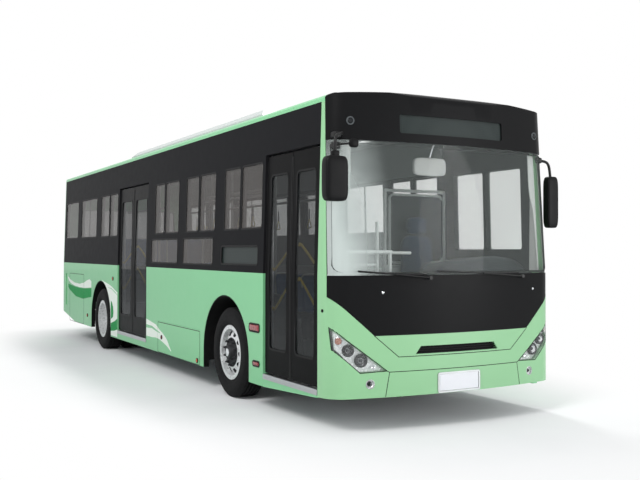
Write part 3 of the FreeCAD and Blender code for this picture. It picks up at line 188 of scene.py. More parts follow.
def enamel(tree, place, code, roughness=0.34, coat=0.1, dust=0.0, specular=0.28):
    """Two-pack enamel sprayed on sheet metal: an even colour, a thin clear coat and faint orange peel."""
    base = srgb(code) if code else tuple(bpy.context.scene.bus_look.body_colour) + (1.0,)
    shade = mottled(tree, place, 0.8, base, 0.97)
    if dust:
        # Road dust lies thickest near the ground and is gone 0.6 m up, in patches of about 170 mm.
        height = put(tree, "ShaderNodeSeparateXYZ", links={"Vector": place}).outputs["Z"]
        fade = put(tree, "ShaderNodeMapRange", {"From Min": 0.15, "From Max": 0.6, "To Min": dust, "To Max": 0.0},
                   {"Value": height})
        patches = put(tree, "ShaderNodeTexNoise", {"Scale": 6.0, **FRACTAL}, {"Vector": place})
        amount = put(tree, "ShaderNodeMath", {"operation": "MULTIPLY"}, {0: fade, 1: patches})
        shade = put(tree, "ShaderNodeMix", {"data_type": "RGBA", 7: srgb("8C8474")},
                    {0: amount, 6: shade}).outputs[2]
    cloudy = put(tree, "ShaderNodeTexNoise", {"Scale": 9.0, **FRACTAL}, {"Vector": place})
    rough = put(tree, "ShaderNodeMapRange", {"To Min": roughness - 0.05, "To Max": roughness + 0.06},
                {"Value": cloudy})
    # Orange peel repeats every 4 mm and is drawn at 8 mm so that it shows.
    peel = put(tree, "ShaderNodeTexNoise", {"Scale": 125.0, **FRACTAL, "Detail": 1.0}, {"Vector": place})
    return put(tree, "ShaderNodeBsdfPrincipled",
               {"IOR": 1.5, "Coat Weight": coat, "Coat Roughness": 0.05, "Specular IOR Level": specular},
               {"Base Color": shade, "Roughness": rough,
                "Normal": put(tree, "ShaderNodeBump", {"Distance": 0.00005}, {"Height": peel})})


def moulded(tree, place, code, roughness=0.5, grain=900.0, relief=0.00008, variation=0.12):
    """Moulded ABS or polypropylene: a fine leather-like grain of about 1 mm that breaks up its gloss."""
    shade = mottled(tree, place, 12.0, srgb(code), 1 - variation, 0.35, 0.65)
    cells = put(tree, "ShaderNodeTexVoronoi", {"Scale": grain, "feature": "DISTANCE_TO_EDGE"}, {"Vector": place})
    return put(tree, "ShaderNodeBsdfPrincipled", {"Roughness": roughness, "IOR": 1.46, "Specular IOR Level": 0.3},
               {"Base Color": shade, "Normal": put(tree, "ShaderNodeBump", {"Distance": relief}, {"Height": cells})})


def metal(tree, place, code, roughness=0.3, brushed=0.0, metallic=1.0):
    """Bare or silver-painted metal: cast mottling of 25 mm, or lines 1.7 mm apart brushed along the bus."""
    stretched = put(tree, "ShaderNodeMapping", {"Scale": (1.0, 0.02 if brushed else 1.0, 1.0)}, {"Vector": place})
    grain = put(tree, "ShaderNodeTexNoise", {"Scale": 600.0 if brushed else 40.0, **FRACTAL, "Detail": 2.0},
                {"Vector": stretched})
    base = srgb(code)
    shade = put(tree, "ShaderNodeValToRGB", {"stops": [(0.3, shaded(base, 0.86)), (0.7, base)]}, {"Fac": grain})
    rough = put(tree, "ShaderNodeMapRange", {"To Min": roughness - 0.08, "To Max": roughness + 0.12},
                {"Value": grain})
    relief = put(tree, "ShaderNodeBump", {"Distance": 0.00003 + brushed * 0.00005}, {"Height": grain})
    return put(tree, "ShaderNodeBsdfPrincipled", {"Metallic": metallic},
               {"Base Color": shade, "Roughness": rough, "Normal": relief})


def glazing(tree, place, code, alpha, roughness=0.02, specular=0.5):
    """Toughened tinted glass: a thin film of its tint that still mirrors its surroundings."""
    return put(tree, "ShaderNodeBsdfPrincipled",
               {"Roughness": roughness, "IOR": 1.52, "Alpha": alpha, "Specular IOR Level": specular},
               {"Base Color": mottled(tree, place, 0.6, srgb(code), 0.9)})


def screen_glass(tree, place):
    """Laminated windscreen: nearly clear, with a painted reflection of the white sky in the quarter by the doors."""
    parts = put(tree, "ShaderNodeSeparateXYZ", links={"Vector": place})
    # Painted reflection: the glass turns whitish towards the door's edge, by x, as if it mirrored the white sky.
    painted_sky_reflection = put(tree, "ShaderNodeMapRange",
              {"From Min": -1.22, "From Max": -0.62, "To Min": 0.62, "To Max": CLEAR_ALPHA,
               "interpolation_type": "SMOOTHSTEP"}, {"Value": parts.outputs["X"]})
    # The painted reflection weakens towards the top of the screen, down to 35 % of its strength.
    low = put(tree, "ShaderNodeMapRange", {"From Min": 2.5, "From Max": 1.9, "To Min": 0.35, "To Max": 1.0},
              {"Value": parts.outputs["Z"]})
    film = put(tree, "ShaderNodeMath", {"operation": "MULTIPLY"}, {0: painted_sky_reflection, 1: low})
    film = put(tree, "ShaderNodeMath", {"operation": "MAXIMUM", 1: CLEAR_ALPHA}, {0: film})
    return put(tree, "ShaderNodeBsdfPrincipled", {"Roughness": 0.02, "IOR": 1.52, "Base Color": srgb("DDE6E2")},
               {"Alpha": film})


def vulcanised(tree, place, code, roughness=0.75, worn="232325"):
    """Vulcanised rubber: matt, near black, greyed in patches of 30 mm and grained every 2 mm."""
    wear = put(tree, "ShaderNodeTexNoise", {"Scale": 30.0, **FRACTAL, "Detail": 5.0}, {"Vector": place})
    shade = put(tree, "ShaderNodeValToRGB", {"stops": [(0.35, srgb(code)), (0.75, srgb(worn))]}, {"Fac": wear})
    grain = put(tree, "ShaderNodeTexNoise", {"Scale": 500.0, **FRACTAL}, {"Vector": place})
    return put(tree, "ShaderNodeBsdfPrincipled", {"Roughness": roughness, "IOR": 1.52, "Specular IOR Level": 0.2},
               {"Base Color": shade, "Normal": put(tree, "ShaderNodeBump", {"Distance": 0.0002}, {"Height": grain})})


def woven(tree, place, code, second):
    """Woven moquette: threads 2 mm apart, drawn at 12 mm, in two close blues with a soft pile."""
    waves = [put(tree, "ShaderNodeTexWave", {"Scale": 26.0, "bands_direction": axis},
                 {"Vector": place}).outputs["Fac"] for axis in ("X", "Z")]
    weave = put(tree, "ShaderNodeMath", {"operation": "MULTIPLY"}, {0: waves[0], 1: waves[1]})
    fluff = put(tree, "ShaderNodeTexNoise", {"Scale": 160.0, **FRACTAL}, {"Vector": place})
    speck = put(tree, "ShaderNodeMath", {"operation": "ADD"}, {0: weave, 1: fluff})
    shade = put(tree, "ShaderNodeValToRGB", {"stops": [(0.35, srgb(code)), (1.0, srgb(second))]}, {"Fac": speck})
    return put(tree, "ShaderNodeBsdfPrincipled", {"Roughness": 0.9, "Sheen Weight": 0.35, "Sheen Roughness": 0.4},
               {"Base Color": shade, "Normal": put(tree, "ShaderNodeBump", {"Distance": 0.0006}, {"Height": weave})})


def ribbed_vinyl(tree, place):
    """Ribbed safety vinyl with quartz specks of 4 mm: ribs 12 mm apart along the bus, drawn at 24 mm."""
    ribs = put(tree, "ShaderNodeTexWave", {"Scale": 13.0, "bands_direction": "X"}, {"Vector": place})
    specks = put(tree, "ShaderNodeTexNoise", {"Scale": 240.0, **FRACTAL, "Detail": 2.0}, {"Vector": place})
    stops = [(0.4, srgb("6B7076")), (0.62, srgb("7D8288")), (0.7, srgb("A3A7AA"))]
    return put(tree, "ShaderNodeBsdfPrincipled", {"Roughness": 0.6},
               {"Base Color": put(tree, "ShaderNodeValToRGB", {"stops": stops}, {"Fac": specks}),
                "Normal": put(tree, "ShaderNodeBump", {"Distance": 0.001}, {"Height": ribs.outputs["Fac"]})})


def dot_display(tree, place):
    """Blank dot display behind smoked glass: unlit dots 16 mm apart on a dark board."""
    cells = put(tree, "ShaderNodeTexVoronoi", {"Scale": 62.0, "Randomness": 0.0}, {"Vector": place})
    stops = [(0.25, srgb("222A29")), (0.42, srgb("2A3231"))]
    return put(tree, "ShaderNodeBsdfPrincipled", {"Roughness": 0.4, "Specular IOR Level": 0.15},
               {"Base Color": put(tree, "ShaderNodeValToRGB", {"stops": stops}, {"Fac": cells})})


def lens(tree, place, code, alpha, glow=0.0):
    """Moulded polycarbonate lens: vertical flutes 2 mm apart, drawn at 8 mm, under a hard glossy coat."""
    flutes = put(tree, "ShaderNodeTexWave", {"Scale": 40.0, "bands_direction": "Z"},
                 {"Vector": place}).outputs["Fac"]
    base = srgb(code)
    shade = put(tree, "ShaderNodeValToRGB", {"stops": [(0.0, shaded(base, 0.8)), (1.0, base)]}, {"Fac": flutes})
    return put(tree, "ShaderNodeBsdfPrincipled",
               {"Roughness": 0.08, "IOR": 1.58, "Alpha": alpha, "Coat Weight": 0.6, "Coat Roughness": 0.02,
                "Emission Color": base, "Emission Strength": glow},
               {"Base Color": shade, "Normal": put(tree, "ShaderNodeBump", {"Distance": 0.0004},
                                                   {"Height": flutes})})


def studio_paper(tree, place):
    """Pale seamless paper, which turns into the white backdrop away from the bus for camera rays alone."""
    tint = put(tree, "ShaderNodeTexNoise", {"Scale": 0.5, **FRACTAL}, {"Vector": place})
    shade = put(tree, "ShaderNodeValToRGB", {"stops": [(0.4, srgb("EFEFEF")), (0.6, srgb("F3F3F3"))]}, {"Fac": tint})
    paper = put(tree, "ShaderNodeBsdfDiffuse", {"Roughness": 0.5}, {"Color": shade})
    squeezed = put(tree, "ShaderNodeMapping", {"Scale": (1.0, 0.42, 0.0)}, {"Vector": place})
    away = put(tree, "ShaderNodeVectorMath", {"operation": "LENGTH"}, {0: squeezed}).outputs["Value"]
    fade = put(tree, "ShaderNodeMapRange", {"From Min": 1.9, "From Max": 3.6, "interpolation_type": "SMOOTHSTEP"},
               {"Value": away})
    rays = put(tree, "ShaderNodeLightPath")
    share = put(tree, "ShaderNodeMath", {"operation": "MULTIPLY"}, {0: fade, 1: rays.outputs["Is Camera Ray"]})
    backdrop = put(tree, "ShaderNodeEmission", {"Color": (1, 1, 1, 1), "Strength": 1.0})
    return put(tree, "ShaderNodeMixShader", links={0: share, 1: paper, 2: backdrop})


# Every finish by name: its surface function and that function's values.
FINISHES = {
    "mint enamel": (enamel, None, 0.36, 0.15, 0.0, 0.42),   # None: the body colour of the panel
    # Painted highlight: the body green made paler for the front pieces, as if a broad light fell on the front.
    "mint enamel with painted front highlight": (enamel, "94C997", 0.36, 0.15, 0.0, 0.42),
    "black enamel": (enamel, "212123", 0.4, 0.0, 0.0, 0.012),
    "door enamel": (enamel, "101011", 0.34, 0.0, 0.0, 0.03),
    "black mask enamel": (enamel, "181819", 0.36, 0.0, 0.0, 0.06),
    "white enamel": (enamel, "C9CECB", 0.42, 0.1),
    "white film": (enamel, "F4FBF1", 0.34, 0.0, 0.0, 0.2),
    "green film": (enamel, "07964A", 0.34, 0.0, 0.0, 0.03),
    "silver enamel": (metal, "E2E3E3", 0.28, 0.0, 0.35),
    "chassis paint": (enamel, "131314", 0.7, 0.0, 0.2, 0.08),
    "cast iron": (metal, "2C2D2F", 0.6, 0.0, 0.5),
    "clear glass with painted reflection": (screen_glass,),
    "smoked glass": (glazing, "544F4C", 0.5, 0.04, 0.25),
    "grey glass": (glazing, "BDDCCB", 0.27, 0.02, 0.3),
    "door glass": (glazing, "26292A", 0.5, 0.03, 0.15),
    "smoked dome": (glazing, "1A1D20", 0.95, 0.08, 0.3),
    "EPDM rubber": (vulcanised, "0E0E0F", 0.6, "161617"),
    "tyre rubber": (vulcanised, "101011", 0.85, "19191A"),
    "anodised aluminium": (metal, "BDBFC1", 0.36, 1.0),
    "black aluminium": (enamel, "161617", 0.4, 0.0, 0.0, 0.3),
    "polished chrome": (metal, "E6E8EA", 0.1),
    "reflector": (metal, "EDEFEF", 0.24, 0.0, 0.4),
    "black ABS": (enamel, "0F0F10", 0.45, 0.0, 0.0, 0.12),
    "grey ABS": (moulded, "565A5C", 0.6),
    "slate ABS": (moulded, "2B3033", 0.6),
    "pale laminate": (moulded, "BFC2BE", 0.55, 300.0, 0.00003, 0.05),
    # Painted shade: the pale laminate darkened for the ceiling, as if the cabin roof lay in shade.
    "ceiling laminate with painted shade": (moulded, "8E938F", 0.55, 300.0, 0.00003, 0.05),
    "grey laminate": (moulded, "6E7673", 0.5, 300.0, 0.00003, 0.05),
    "housing polymer": (vulcanised, "0B0B0C", 0.9, "121212"),
    "blue seat polymer": (moulded, "2E62A8", 0.42),
    "moquette": (woven, "1B2A42", "2C405E"),
    "blue moquette": (woven, "1E3F7D", "4A78BE"),
    "yellow powder coat": (enamel, "D9C13A", 0.4, 0.1),
    "pale powder coat": (enamel, "C6CCC8", 0.4, 0.1),
    "ribbed vinyl": (ribbed_vinyl,),
    "dot display": (dot_display,),
    "light diffuser": (lens, "F4F6F4", 1.0, 0.9),
    "clear lens": (glazing, "F3F6F6", 0.05, 0.03, 0.4),
    "orange lens": (lens, "DC5A1A", 0.95, 0.02),
    "russet lens": (lens, "A8674F", 0.95, 0.0),
    "red lens": (lens, "961A22", 0.97, 0.0),
    "white plate": (enamel, "EDEDF2", 0.34, 0.1),
}


def finish(name):
    """The material of that name, made on first use."""
    if name not in MADE:
        surface, *values = FINISHES[name]
        MADE[name] = new_material(name.replace(" ", "_"), surface, values)
    return MADE[name]


# Surfaces

def half_width(z):
    """Half the body's width: upright to the belt, then leaning in evenly to the top of the band."""
    rise = np.maximum(0.0, np.asarray(z, float) - BELT_Z) / (BAND_TOP_Z - BELT_Z)
    return HALF_WIDTH - SIDE_LEAN * rise


def on_side(side, s, z, out=0.0):
    """Points on a side wall: the wall's x at that height, moved outwards."""
    s, z, out = np.broadcast_arrays(np.asarray(s, float), np.asarray(z, float), np.asarray(out, float))
    return np.stack([side * (half_width(z) + out), FRONT_Y + s, z], -1)


def end_geometry(z, front):
    """Radii and centres of the bow and corner circles of an end face at each height.

    The corner's circle touches the side and, from inside, the bow's circle; turn is the angle of that touch.
    """
    z = np.asarray(z, float)
    bow, corner = (BOW, CORNER) if front else (REAR_BOW, REAR_CORNER)
    apex = RAKE * np.maximum(0.0, z - BELT_Z) if front else np.zeros_like(z)
    centre_x = half_width(z) - corner
    turn = np.arcsin(centre_x / (bow - corner))
    centre_s = apex + bow - (bow - corner) * np.cos(turn)
    return bow, corner, apex, centre_x, centre_s, turn


def on_end(w, z, out=0.0, front=True):
    """Points on an end face: w is the length along its outline from the middle.

    Up to the turn the outline is the bow's circle, then the corner's circle up to a right angle,
    then the straight side. out moves a point along the outline's normal.
    """
    w, z, out = np.broadcast_arrays(np.asarray(w, float), np.asarray(z, float), np.asarray(out, float))
    bow, corner, apex, centre_x, centre_s, turn = end_geometry(z, front)
    size = np.abs(w)
    bow_end = bow * turn
    corner_end = bow_end + corner * (math.pi / 2 - turn)
    angle = np.where(size < bow_end, size / bow, turn + (size - bow_end) / corner)
    angle = np.minimum(angle, math.pi / 2)
    on_bow = size < bow_end
    x = np.where(on_bow, (bow + out) * np.sin(angle), centre_x + (corner + out) * np.sin(angle))
    s = np.where(on_bow, apex + bow - (bow + out) * np.cos(angle), centre_s - (corner + out) * np.cos(angle))
    s = s + np.maximum(0.0, size - corner_end)
    x = np.sign(w) * x
    y = FRONT_Y + s if front else FRONT_Y + LENGTH - s
    return np.stack([x, y, z], -1)


def w_at_x(x, z, front=True):
    """The outline length at which an end face has that x: the arc along the bow, and on along the corner."""
    bow, corner, _, centre_x, _, turn = end_geometry(z, front)
    size = np.abs(np.asarray(x, float))
    on_bow = np.arcsin(np.clip(size / bow, 0, 1))
    on_corner = np.arcsin(np.clip((size - centre_x) / corner, -1, 1))
    w = np.where(on_bow < turn, bow * on_bow, bow * turn + corner * (on_corner - turn))
    return np.sign(x) * w


def w_at_s(s, z, front=True):
    """The outline length, on the +X half, at which an end face has that station, from the corner on."""
    bow, corner, _, _, centre_s, turn = end_geometry(z, front)
    angle = np.arccos(np.clip((centre_s - s) / corner, -1, 1))
    return bow * turn + corner * (angle - turn) + np.maximum(0.0, s - centre_s)


def screen_limit(z):
    """The outline length at which the windscreen meets the corner post at each height."""
    return w_at_s(0.230 + 0.085 * (z - BELT_Z) / (BAND_TOP_Z - BELT_Z), z) - 0.003


def net(first, second):
    """Two parameters over a grid, the first down its rows; each is an array, or (from, to, count)."""
    axes = [np.linspace(*a) if isinstance(a, tuple) else a for a in (first, second)]
    return np.meshgrid(*axes, indexing="ij")


def grid_faces(rows, columns, closed_rows=False, closed_columns=False, start=0, flip=False):
    """Quads of a grid of points stored row by row, closed round either way where asked."""
    i = np.arange(rows if closed_rows else rows - 1)
    j = np.arange(columns if closed_columns else columns - 1)
    i, j = np.meshgrid(i, j, indexing="ij")
    i2, j2 = (i + 1) % rows, (j + 1) % columns
    quads = np.stack([i * columns + j, i * columns + j2, i2 * columns + j2, i2 * columns + j], -1)
    quads = quads.reshape(-1, 4) + start
    return quads[:, ::-1] if flip else quads


def tube_faces(rows, count, closed=False):
    """Faces of a skin round closed sections, with both ends filled unless it closes on itself."""
    faces = grid_faces(rows, count, closed, True).tolist()
    if not closed:
        faces += [list(range(count))[::-1], list(range((rows - 1) * count, rows * count))]
    return faces


def joined(parts):
    """One (points, faces) pair from several."""
    points, faces, start = [], [], 0
    for part_points, part_faces in parts:
        points.append(np.asarray(part_points, float).reshape(-1, 3))
        faces += [[v + start for v in face] for face in part_faces]
        start += len(points[-1])
    return np.concatenate(points), faces


def sweep(path, up, section, closed_path=False):
    """A section carried along a path: at each point it lies in the plane across the path.

    Its first axis is the tangent crossed with up, its second axis is up made square to the tangent.
    """
    path = np.asarray(path, float)
    section = np.asarray(section, float)
    if closed_path:
        tangent = np.roll(path, -1, 0) - np.roll(path, 1, 0)
    else:
        tangent = np.gradient(path, axis=0)
    tangent /= np.linalg.norm(tangent, axis=1, keepdims=True)
    across = np.cross(tangent, np.broadcast_to(np.asarray(up, float), path.shape))
    across /= np.linalg.norm(across, axis=1, keepdims=True)
    square = np.cross(across, tangent)
    points = path[:, None] + section[None, :, :1] * across[:, None] + section[None, :, 1:] * square[:, None]
    return points.reshape(-1, 3), tube_faces(len(path), len(section), closed_path)


def ring_section(radius, count=12, flat=1.0):
    """A circle's points, evenly spaced by angle, flattened along its second axis where asked."""
    turn = np.linspace(0, 2 * math.pi, count, endpoint=False)
    return np.stack([radius * np.cos(turn), flat * radius * np.sin(turn)], -1)


def revolve(profile, centre, axis, steps=64):
    """A closed profile of (radius, offset) turned about an axis through a centre."""
    profile = np.asarray(profile, float)
    axis = np.asarray(axis, float) / np.linalg.norm(axis)
    side = np.cross(axis, [0, 0, 1] if abs(axis[2]) < 0.9 else [1, 0, 0])
    side /= np.linalg.norm(side)
    other = np.cross(axis, side)
    turn = np.linspace(0, 2 * math.pi, steps, endpoint=False)
    spoke = np.cos(turn)[:, None] * side + np.sin(turn)[:, None] * other
    points = np.asarray(centre) + profile[None, :, :1] * spoke[:, None] + profile[None, :, 1:] * axis
    return points.reshape(-1, 3), tube_faces(steps, len(profile), True)


def filled(profile, top):
    """A turned profile closed to its axis: at the height top, and back at the height where it starts."""
    return profile + [(AXIS_R, top), (AXIS_R, profile[0][1])]


def superbox(x, s, z, size, power=6.0, rows=24, columns=32):
    """A rounded box: a sphere whose sines and cosines are raised to 2 / power, so it fills its corners."""
    v, u = net((-math.pi / 2, math.pi / 2, rows), np.linspace(-math.pi, math.pi, columns, endpoint=False))

    def bent(value):
        return np.sign(value) * np.abs(value) ** (2.0 / power)

    points = np.stack([bent(np.cos(v)) * bent(np.cos(u)), bent(np.cos(v)) * bent(np.sin(u)), bent(np.sin(v))], -1)
    points = np.array([x, FRONT_Y + s, z]) + points * np.asarray(size) / 2
    return points.reshape(-1, 3), grid_faces(rows, columns, False, True).tolist()


def block(x0, x1, s0, s1, z0, z1):
    """A plain block's corners and faces, between two widths, stations and heights."""
    xs, ys, zs = sorted((x0, x1)), (FRONT_Y + s0, FRONT_Y + s1), (z0, z1)
    points = np.array([(x, y, z) for x in xs for y in ys for z in zs])
    faces = [[0, 1, 3, 2], [4, 6, 7, 5], [0, 4, 5, 1], [2, 3, 7, 6], [0, 2, 6, 4], [1, 5, 7, 3]]
    return points, faces


def round_rect(s0, s1, z0, z1, radius, steps=7):
    """A rounded rectangle's outline as (station, height): a quarter circle at each corner, run round once."""
    turn = np.linspace(0, math.pi / 2, steps)
    corners = ((s1 - radius, z1 - radius), (s0 + radius, z1 - radius), (s0 + radius, z0 + radius),
               (s1 - radius, z0 + radius))
    runs = []
    for quarter, (s, z) in enumerate(corners):
        angle = turn + quarter * math.pi / 2
        runs.append(np.stack([s + radius * np.cos(angle), z + radius * np.sin(angle)], -1))
    return np.concatenate(runs)


def slab(front, back, closed_rows=False):
    """A closed sheet between two equal grids of points: both skins and the four edges between them."""
    rows, columns = front.shape[:2]
    points = np.concatenate([front.reshape(-1, 3), back.reshape(-1, 3)])
    offset = rows * columns
    faces = [grid_faces(rows, columns, closed_rows), grid_faces(rows, columns, closed_rows, start=offset, flip=True)]
    index = np.arange(offset).reshape(rows, columns)
    edges = [index[:, 0], index[:, -1][::-1]]
    edges += [index[[-1, 0], 0], index[[-1, 0], -1]] if closed_rows else [index[0][::-1], index[-1]]
    faces += [np.stack([line[:-1], line[1:], line[1:] + offset, line[:-1] + offset], -1) for line in edges]
    return points, np.concatenate(faces).tolist()


def end_sheet(w, z, outer, inner, front=True, closed_rows=False):
    """A closed sheet that follows an end face, between two distances along its normal."""
    return slab(on_end(w, z, outer, front), on_end(w, z, inner, front), closed_rows)


def side_sheet(side, s, z, outer, inner):
    """A closed sheet that follows a side wall, between two distances from its outer face."""
    return slab(on_side(side, s, z, outer), on_side(side, s, z, inner))


def wall_sheet(side, s0, s1, z0, z1, outer, inner):
    """A plain rectangle of side_sheet."""
    s, z = net((s0, s1, 3), (z0, z1, 8))
    return side_sheet(side, s, z, outer, inner)


def prism(section, s0, s1):
    """A closed section of (x, height) points run along the bus between two stations."""
    ends = [np.insert(section, 1, FRONT_Y + s, axis=1) for s in (s0, s1)]
    return np.concatenate(ends), tube_faces(2, len(section))


def along_x(section, x0, x1):
    """A closed section of (station, height) points run across the bus."""
    ends = [np.insert(np.asarray(section) + (FRONT_Y, 0.0), 0, x, axis=1) for x in (x0, x1)]
    return np.concatenate(ends), tube_faces(2, len(section))


def mirrored(sign, points):
    """A section of (x, height) points on the side of that sign."""
    return [(sign * x, z) for x, z in points]


def rib(foot, low, head, high):
    """A four-sided section with its half width at its low edge and at its high edge."""
    return [(-foot, low), (foot, low), (head, high), (-head, high)]


def bead(width, height, count=10):
    """A rubber section: half an ellipse that stands out from the wall, and a foot 6 mm deep."""
    turn = np.linspace(0, math.pi, count)
    top = np.stack([width / 2 * np.cos(turn), height * np.sin(turn)], -1)
    return np.concatenate([top, [[-width / 2, -0.006], [width / 2, -0.006]]])


def side_loop(side, outline, section, out=0.0):
    """A closed bead along an outline of (station, height) on a side wall."""
    path = on_side(side, outline[:, 0], outline[:, 1], out)
    up = np.array([side * 1.0, 0.0, SIDE_SLOPE])
    return sweep(path, up / np.linalg.norm(up), section, closed_path=True)


def end_loop(outline, section, out=0.0, front=True):
    """A closed bead along an outline of (x, height) on an end face."""
    x, z = outline[:, 0], outline[:, 1]
    return sweep(on_end(w_at_x(x, z, front), z, out, front), (0, -1 if front else 1, 0), section, closed_path=True)


def smooth_route(route, count):
    """Points along a Catmull-Rom curve through a route of (x, station, z)."""
    points = np.array([(x, FRONT_Y + s, z) for x, s, z in route], float)
    ends = np.concatenate([[2 * points[0] - points[1]], points, [2 * points[-1] - points[-2]]])
    t = np.linspace(0, len(points) - 1, count)
    i = np.minimum(t.astype(int), len(points) - 2)
    f = (t - i)[:, None]
    p0, p1, p2, p3 = (ends[i + k] for k in range(4))
    return 0.5 * (2 * p1 + (p2 - p0) * f + (2 * p0 - 5 * p1 + 4 * p2 - p3) * f ** 2
                  + (3 * p1 - p0 - 3 * p2 + p3) * f ** 3)


def tube(path, radius):
    """A round tube along a path."""
    return sweep(path, (0.31, 0.17, 0.93), ring_section(radius, 12))


def bar(route, count, radius):
    """A round tube along the smooth curve through a route of (x, station, z)."""
    return tube(smooth_route(route, count), radius)


def face_frame(x, z, out=0.0, front=True):
    """A point on an end face and the unit normal there."""
    z = np.array(z)
    w = w_at_x(np.array(x), z, front)
    centre = on_end(w, z, out, front)
    normal = on_end(w, z, out + 0.01, front) - centre
    return centre, normal / np.linalg.norm(normal)


def face_line(points, out=-0.0005, width=0.006, front=True):
    """A strip 1.2 mm thick that follows an end face through (x, z) points."""
    dense = []
    for (x0, z0), (x1, z1) in zip(points[:-1], points[1:]):
        t = np.linspace(0, 1, max(2, int(math.hypot(x1 - x0, z1 - z0) / 0.03)), endpoint=False)
        dense.append(np.stack([x0 + (x1 - x0) * t, z0 + (z1 - z0) * t], -1))
    dense.append(np.array([points[-1]], float))
    x, z = np.concatenate(dense).T
    w = w_at_x(x, z, front)
    path = on_end(w, z, out, front)
    outward = on_end(w, z, out + 0.01, front) - path
    outward /= np.linalg.norm(outward, axis=1, keepdims=True)
    return sweep(path, outward, rib(width / 2, 0, width / 2, 0.0012))


def end_disc(x, z, profile, steps, front=True):
    """A turned piece that stands on an end face; its profile is (radius, offset from the face)."""
    return revolve(profile, *face_frame(x, z, 0.0, front), steps)


def side_disc(side, s, z, profile, steps=28):
    """A turned piece that stands on a side wall; its profile is (radius, offset from the wall)."""
    return revolve(profile, on_side(side, s, z), (side * 1.0, 0.0, 0.0 if z < BELT_Z else SIDE_SLOPE), steps)


# Objects

def piece(name, shape, material, body="chassis", replaced=(), bevel=0.0, smooth=35.0):
    """Make an object from (points, faces), or a list of them, give it its finish and let it ride on a body."""
    points, faces = joined(shape) if isinstance(shape, list) else shape
    mesh = bpy.data.meshes.new(name)
    mesh.from_pydata(np.asarray(points, float).tolist(), [], faces)
    mesh.update()
    return finished(name, mesh, material, body, replaced, bevel, smooth, True)


def finished(name, mesh, material, body, replaced, bevel, smooth, recalculate):
    """Merge doubles, turn faces outwards, shade by angle, bevel if asked, and ride on the body."""
    work = bmesh.new()
    work.from_mesh(mesh)
    bmesh.ops.remove_doubles(work, verts=work.verts, dist=MERGE_GAP)
    if recalculate:
        bmesh.ops.recalc_face_normals(work, faces=work.faces)
    limit = math.radians(smooth)
    for face in work.faces:
        face.smooth = True
    for edge in work.edges:
        edge.smooth = len(edge.link_faces) == 2 and edge.calc_face_angle(0.0) < limit
    work.to_mesh(mesh)
    work.free()
    obj = bpy.data.objects.new(name, mesh)
    bpy.context.scene.collection.objects.link(obj)
    mesh.materials.append(finish(material))
    if bevel:
        modifier = obj.modifiers.new("edges", "BEVEL")
        modifier.width = bevel
        modifier.segments = 2
        modifier.limit_method = "ANGLE"
        modifier.angle_limit = BEVEL_FROM
        modifier.harden_normals = True
    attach(obj, body)
    if replaced:
        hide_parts(*replaced)
    return obj


def dressed_copy(node, material, smooth=32.0, bevel=0.0):
    """A merged copy of a CAD node, shaded by angle, that stands for it."""
    mesh = NODES[node].data.copy()
    mesh.materials.clear()
    return finished(node + "_skin", mesh, material, NODES[node]["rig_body"], (node,), bevel, smooth, False)


def baked(obj):
    """A new mesh with the object's modifiers applied."""
    graph = bpy.context.evaluated_depsgraph_get()
    mesh = bpy.data.meshes.new_from_object(obj.evaluated_get(graph))
    if not mesh.materials:
        mesh.materials.append(obj.data.materials[0])
    return mesh


def coordinates(mesh):
    """A mesh's points as an array."""
    flat = np.empty(3 * len(mesh.vertices))
    mesh.vertices.foreach_get("co", flat)
    return flat.reshape(-1, 3)


def cushion(shape, name, cap):
    """A stuffed pad blown up by the cloth solver; no point moves by more than the cap."""
    obj = piece(name, shape, "moquette")
    scene = bpy.context.scene
    voxels = obj.modifiers.new("voxels", "REMESH")
    voxels.mode = "VOXEL"
    voxels.voxel_size = 0.009
    remeshed = baked(obj)
    obj.modifiers.clear()
    obj.data = remeshed
    cloth = obj.modifiers.new("pad", "CLOTH")
    cloth.settings.use_pressure = True
    cloth.settings.uniform_pressure_force = 4.0
    cloth.settings.quality = 4
    cloth.settings.effector_weights.gravity = 0.0
    cloth.point_cache.frame_start, cloth.point_cache.frame_end = 1, 20
    before = coordinates(remeshed)
    for frame_number in range(1, 21):
        scene.frame_set(frame_number)
    swollen = baked(obj)
    moved = coordinates(swollen) - before
    moved -= moved.mean(0)
    size = np.linalg.norm(moved, axis=1, keepdims=True)
    moved *= np.minimum(1.0, cap / np.maximum(size, 1e-9))
    obj.modifiers.clear()
    remeshed.vertices.foreach_set("co", (before + moved).ravel())
    remeshed.polygons.foreach_set("use_smooth", np.ones(len(remeshed.polygons), bool))
    remeshed.update()
    bpy.data.meshes.remove(swollen)
    scene.frame_set(1)


# Pieces

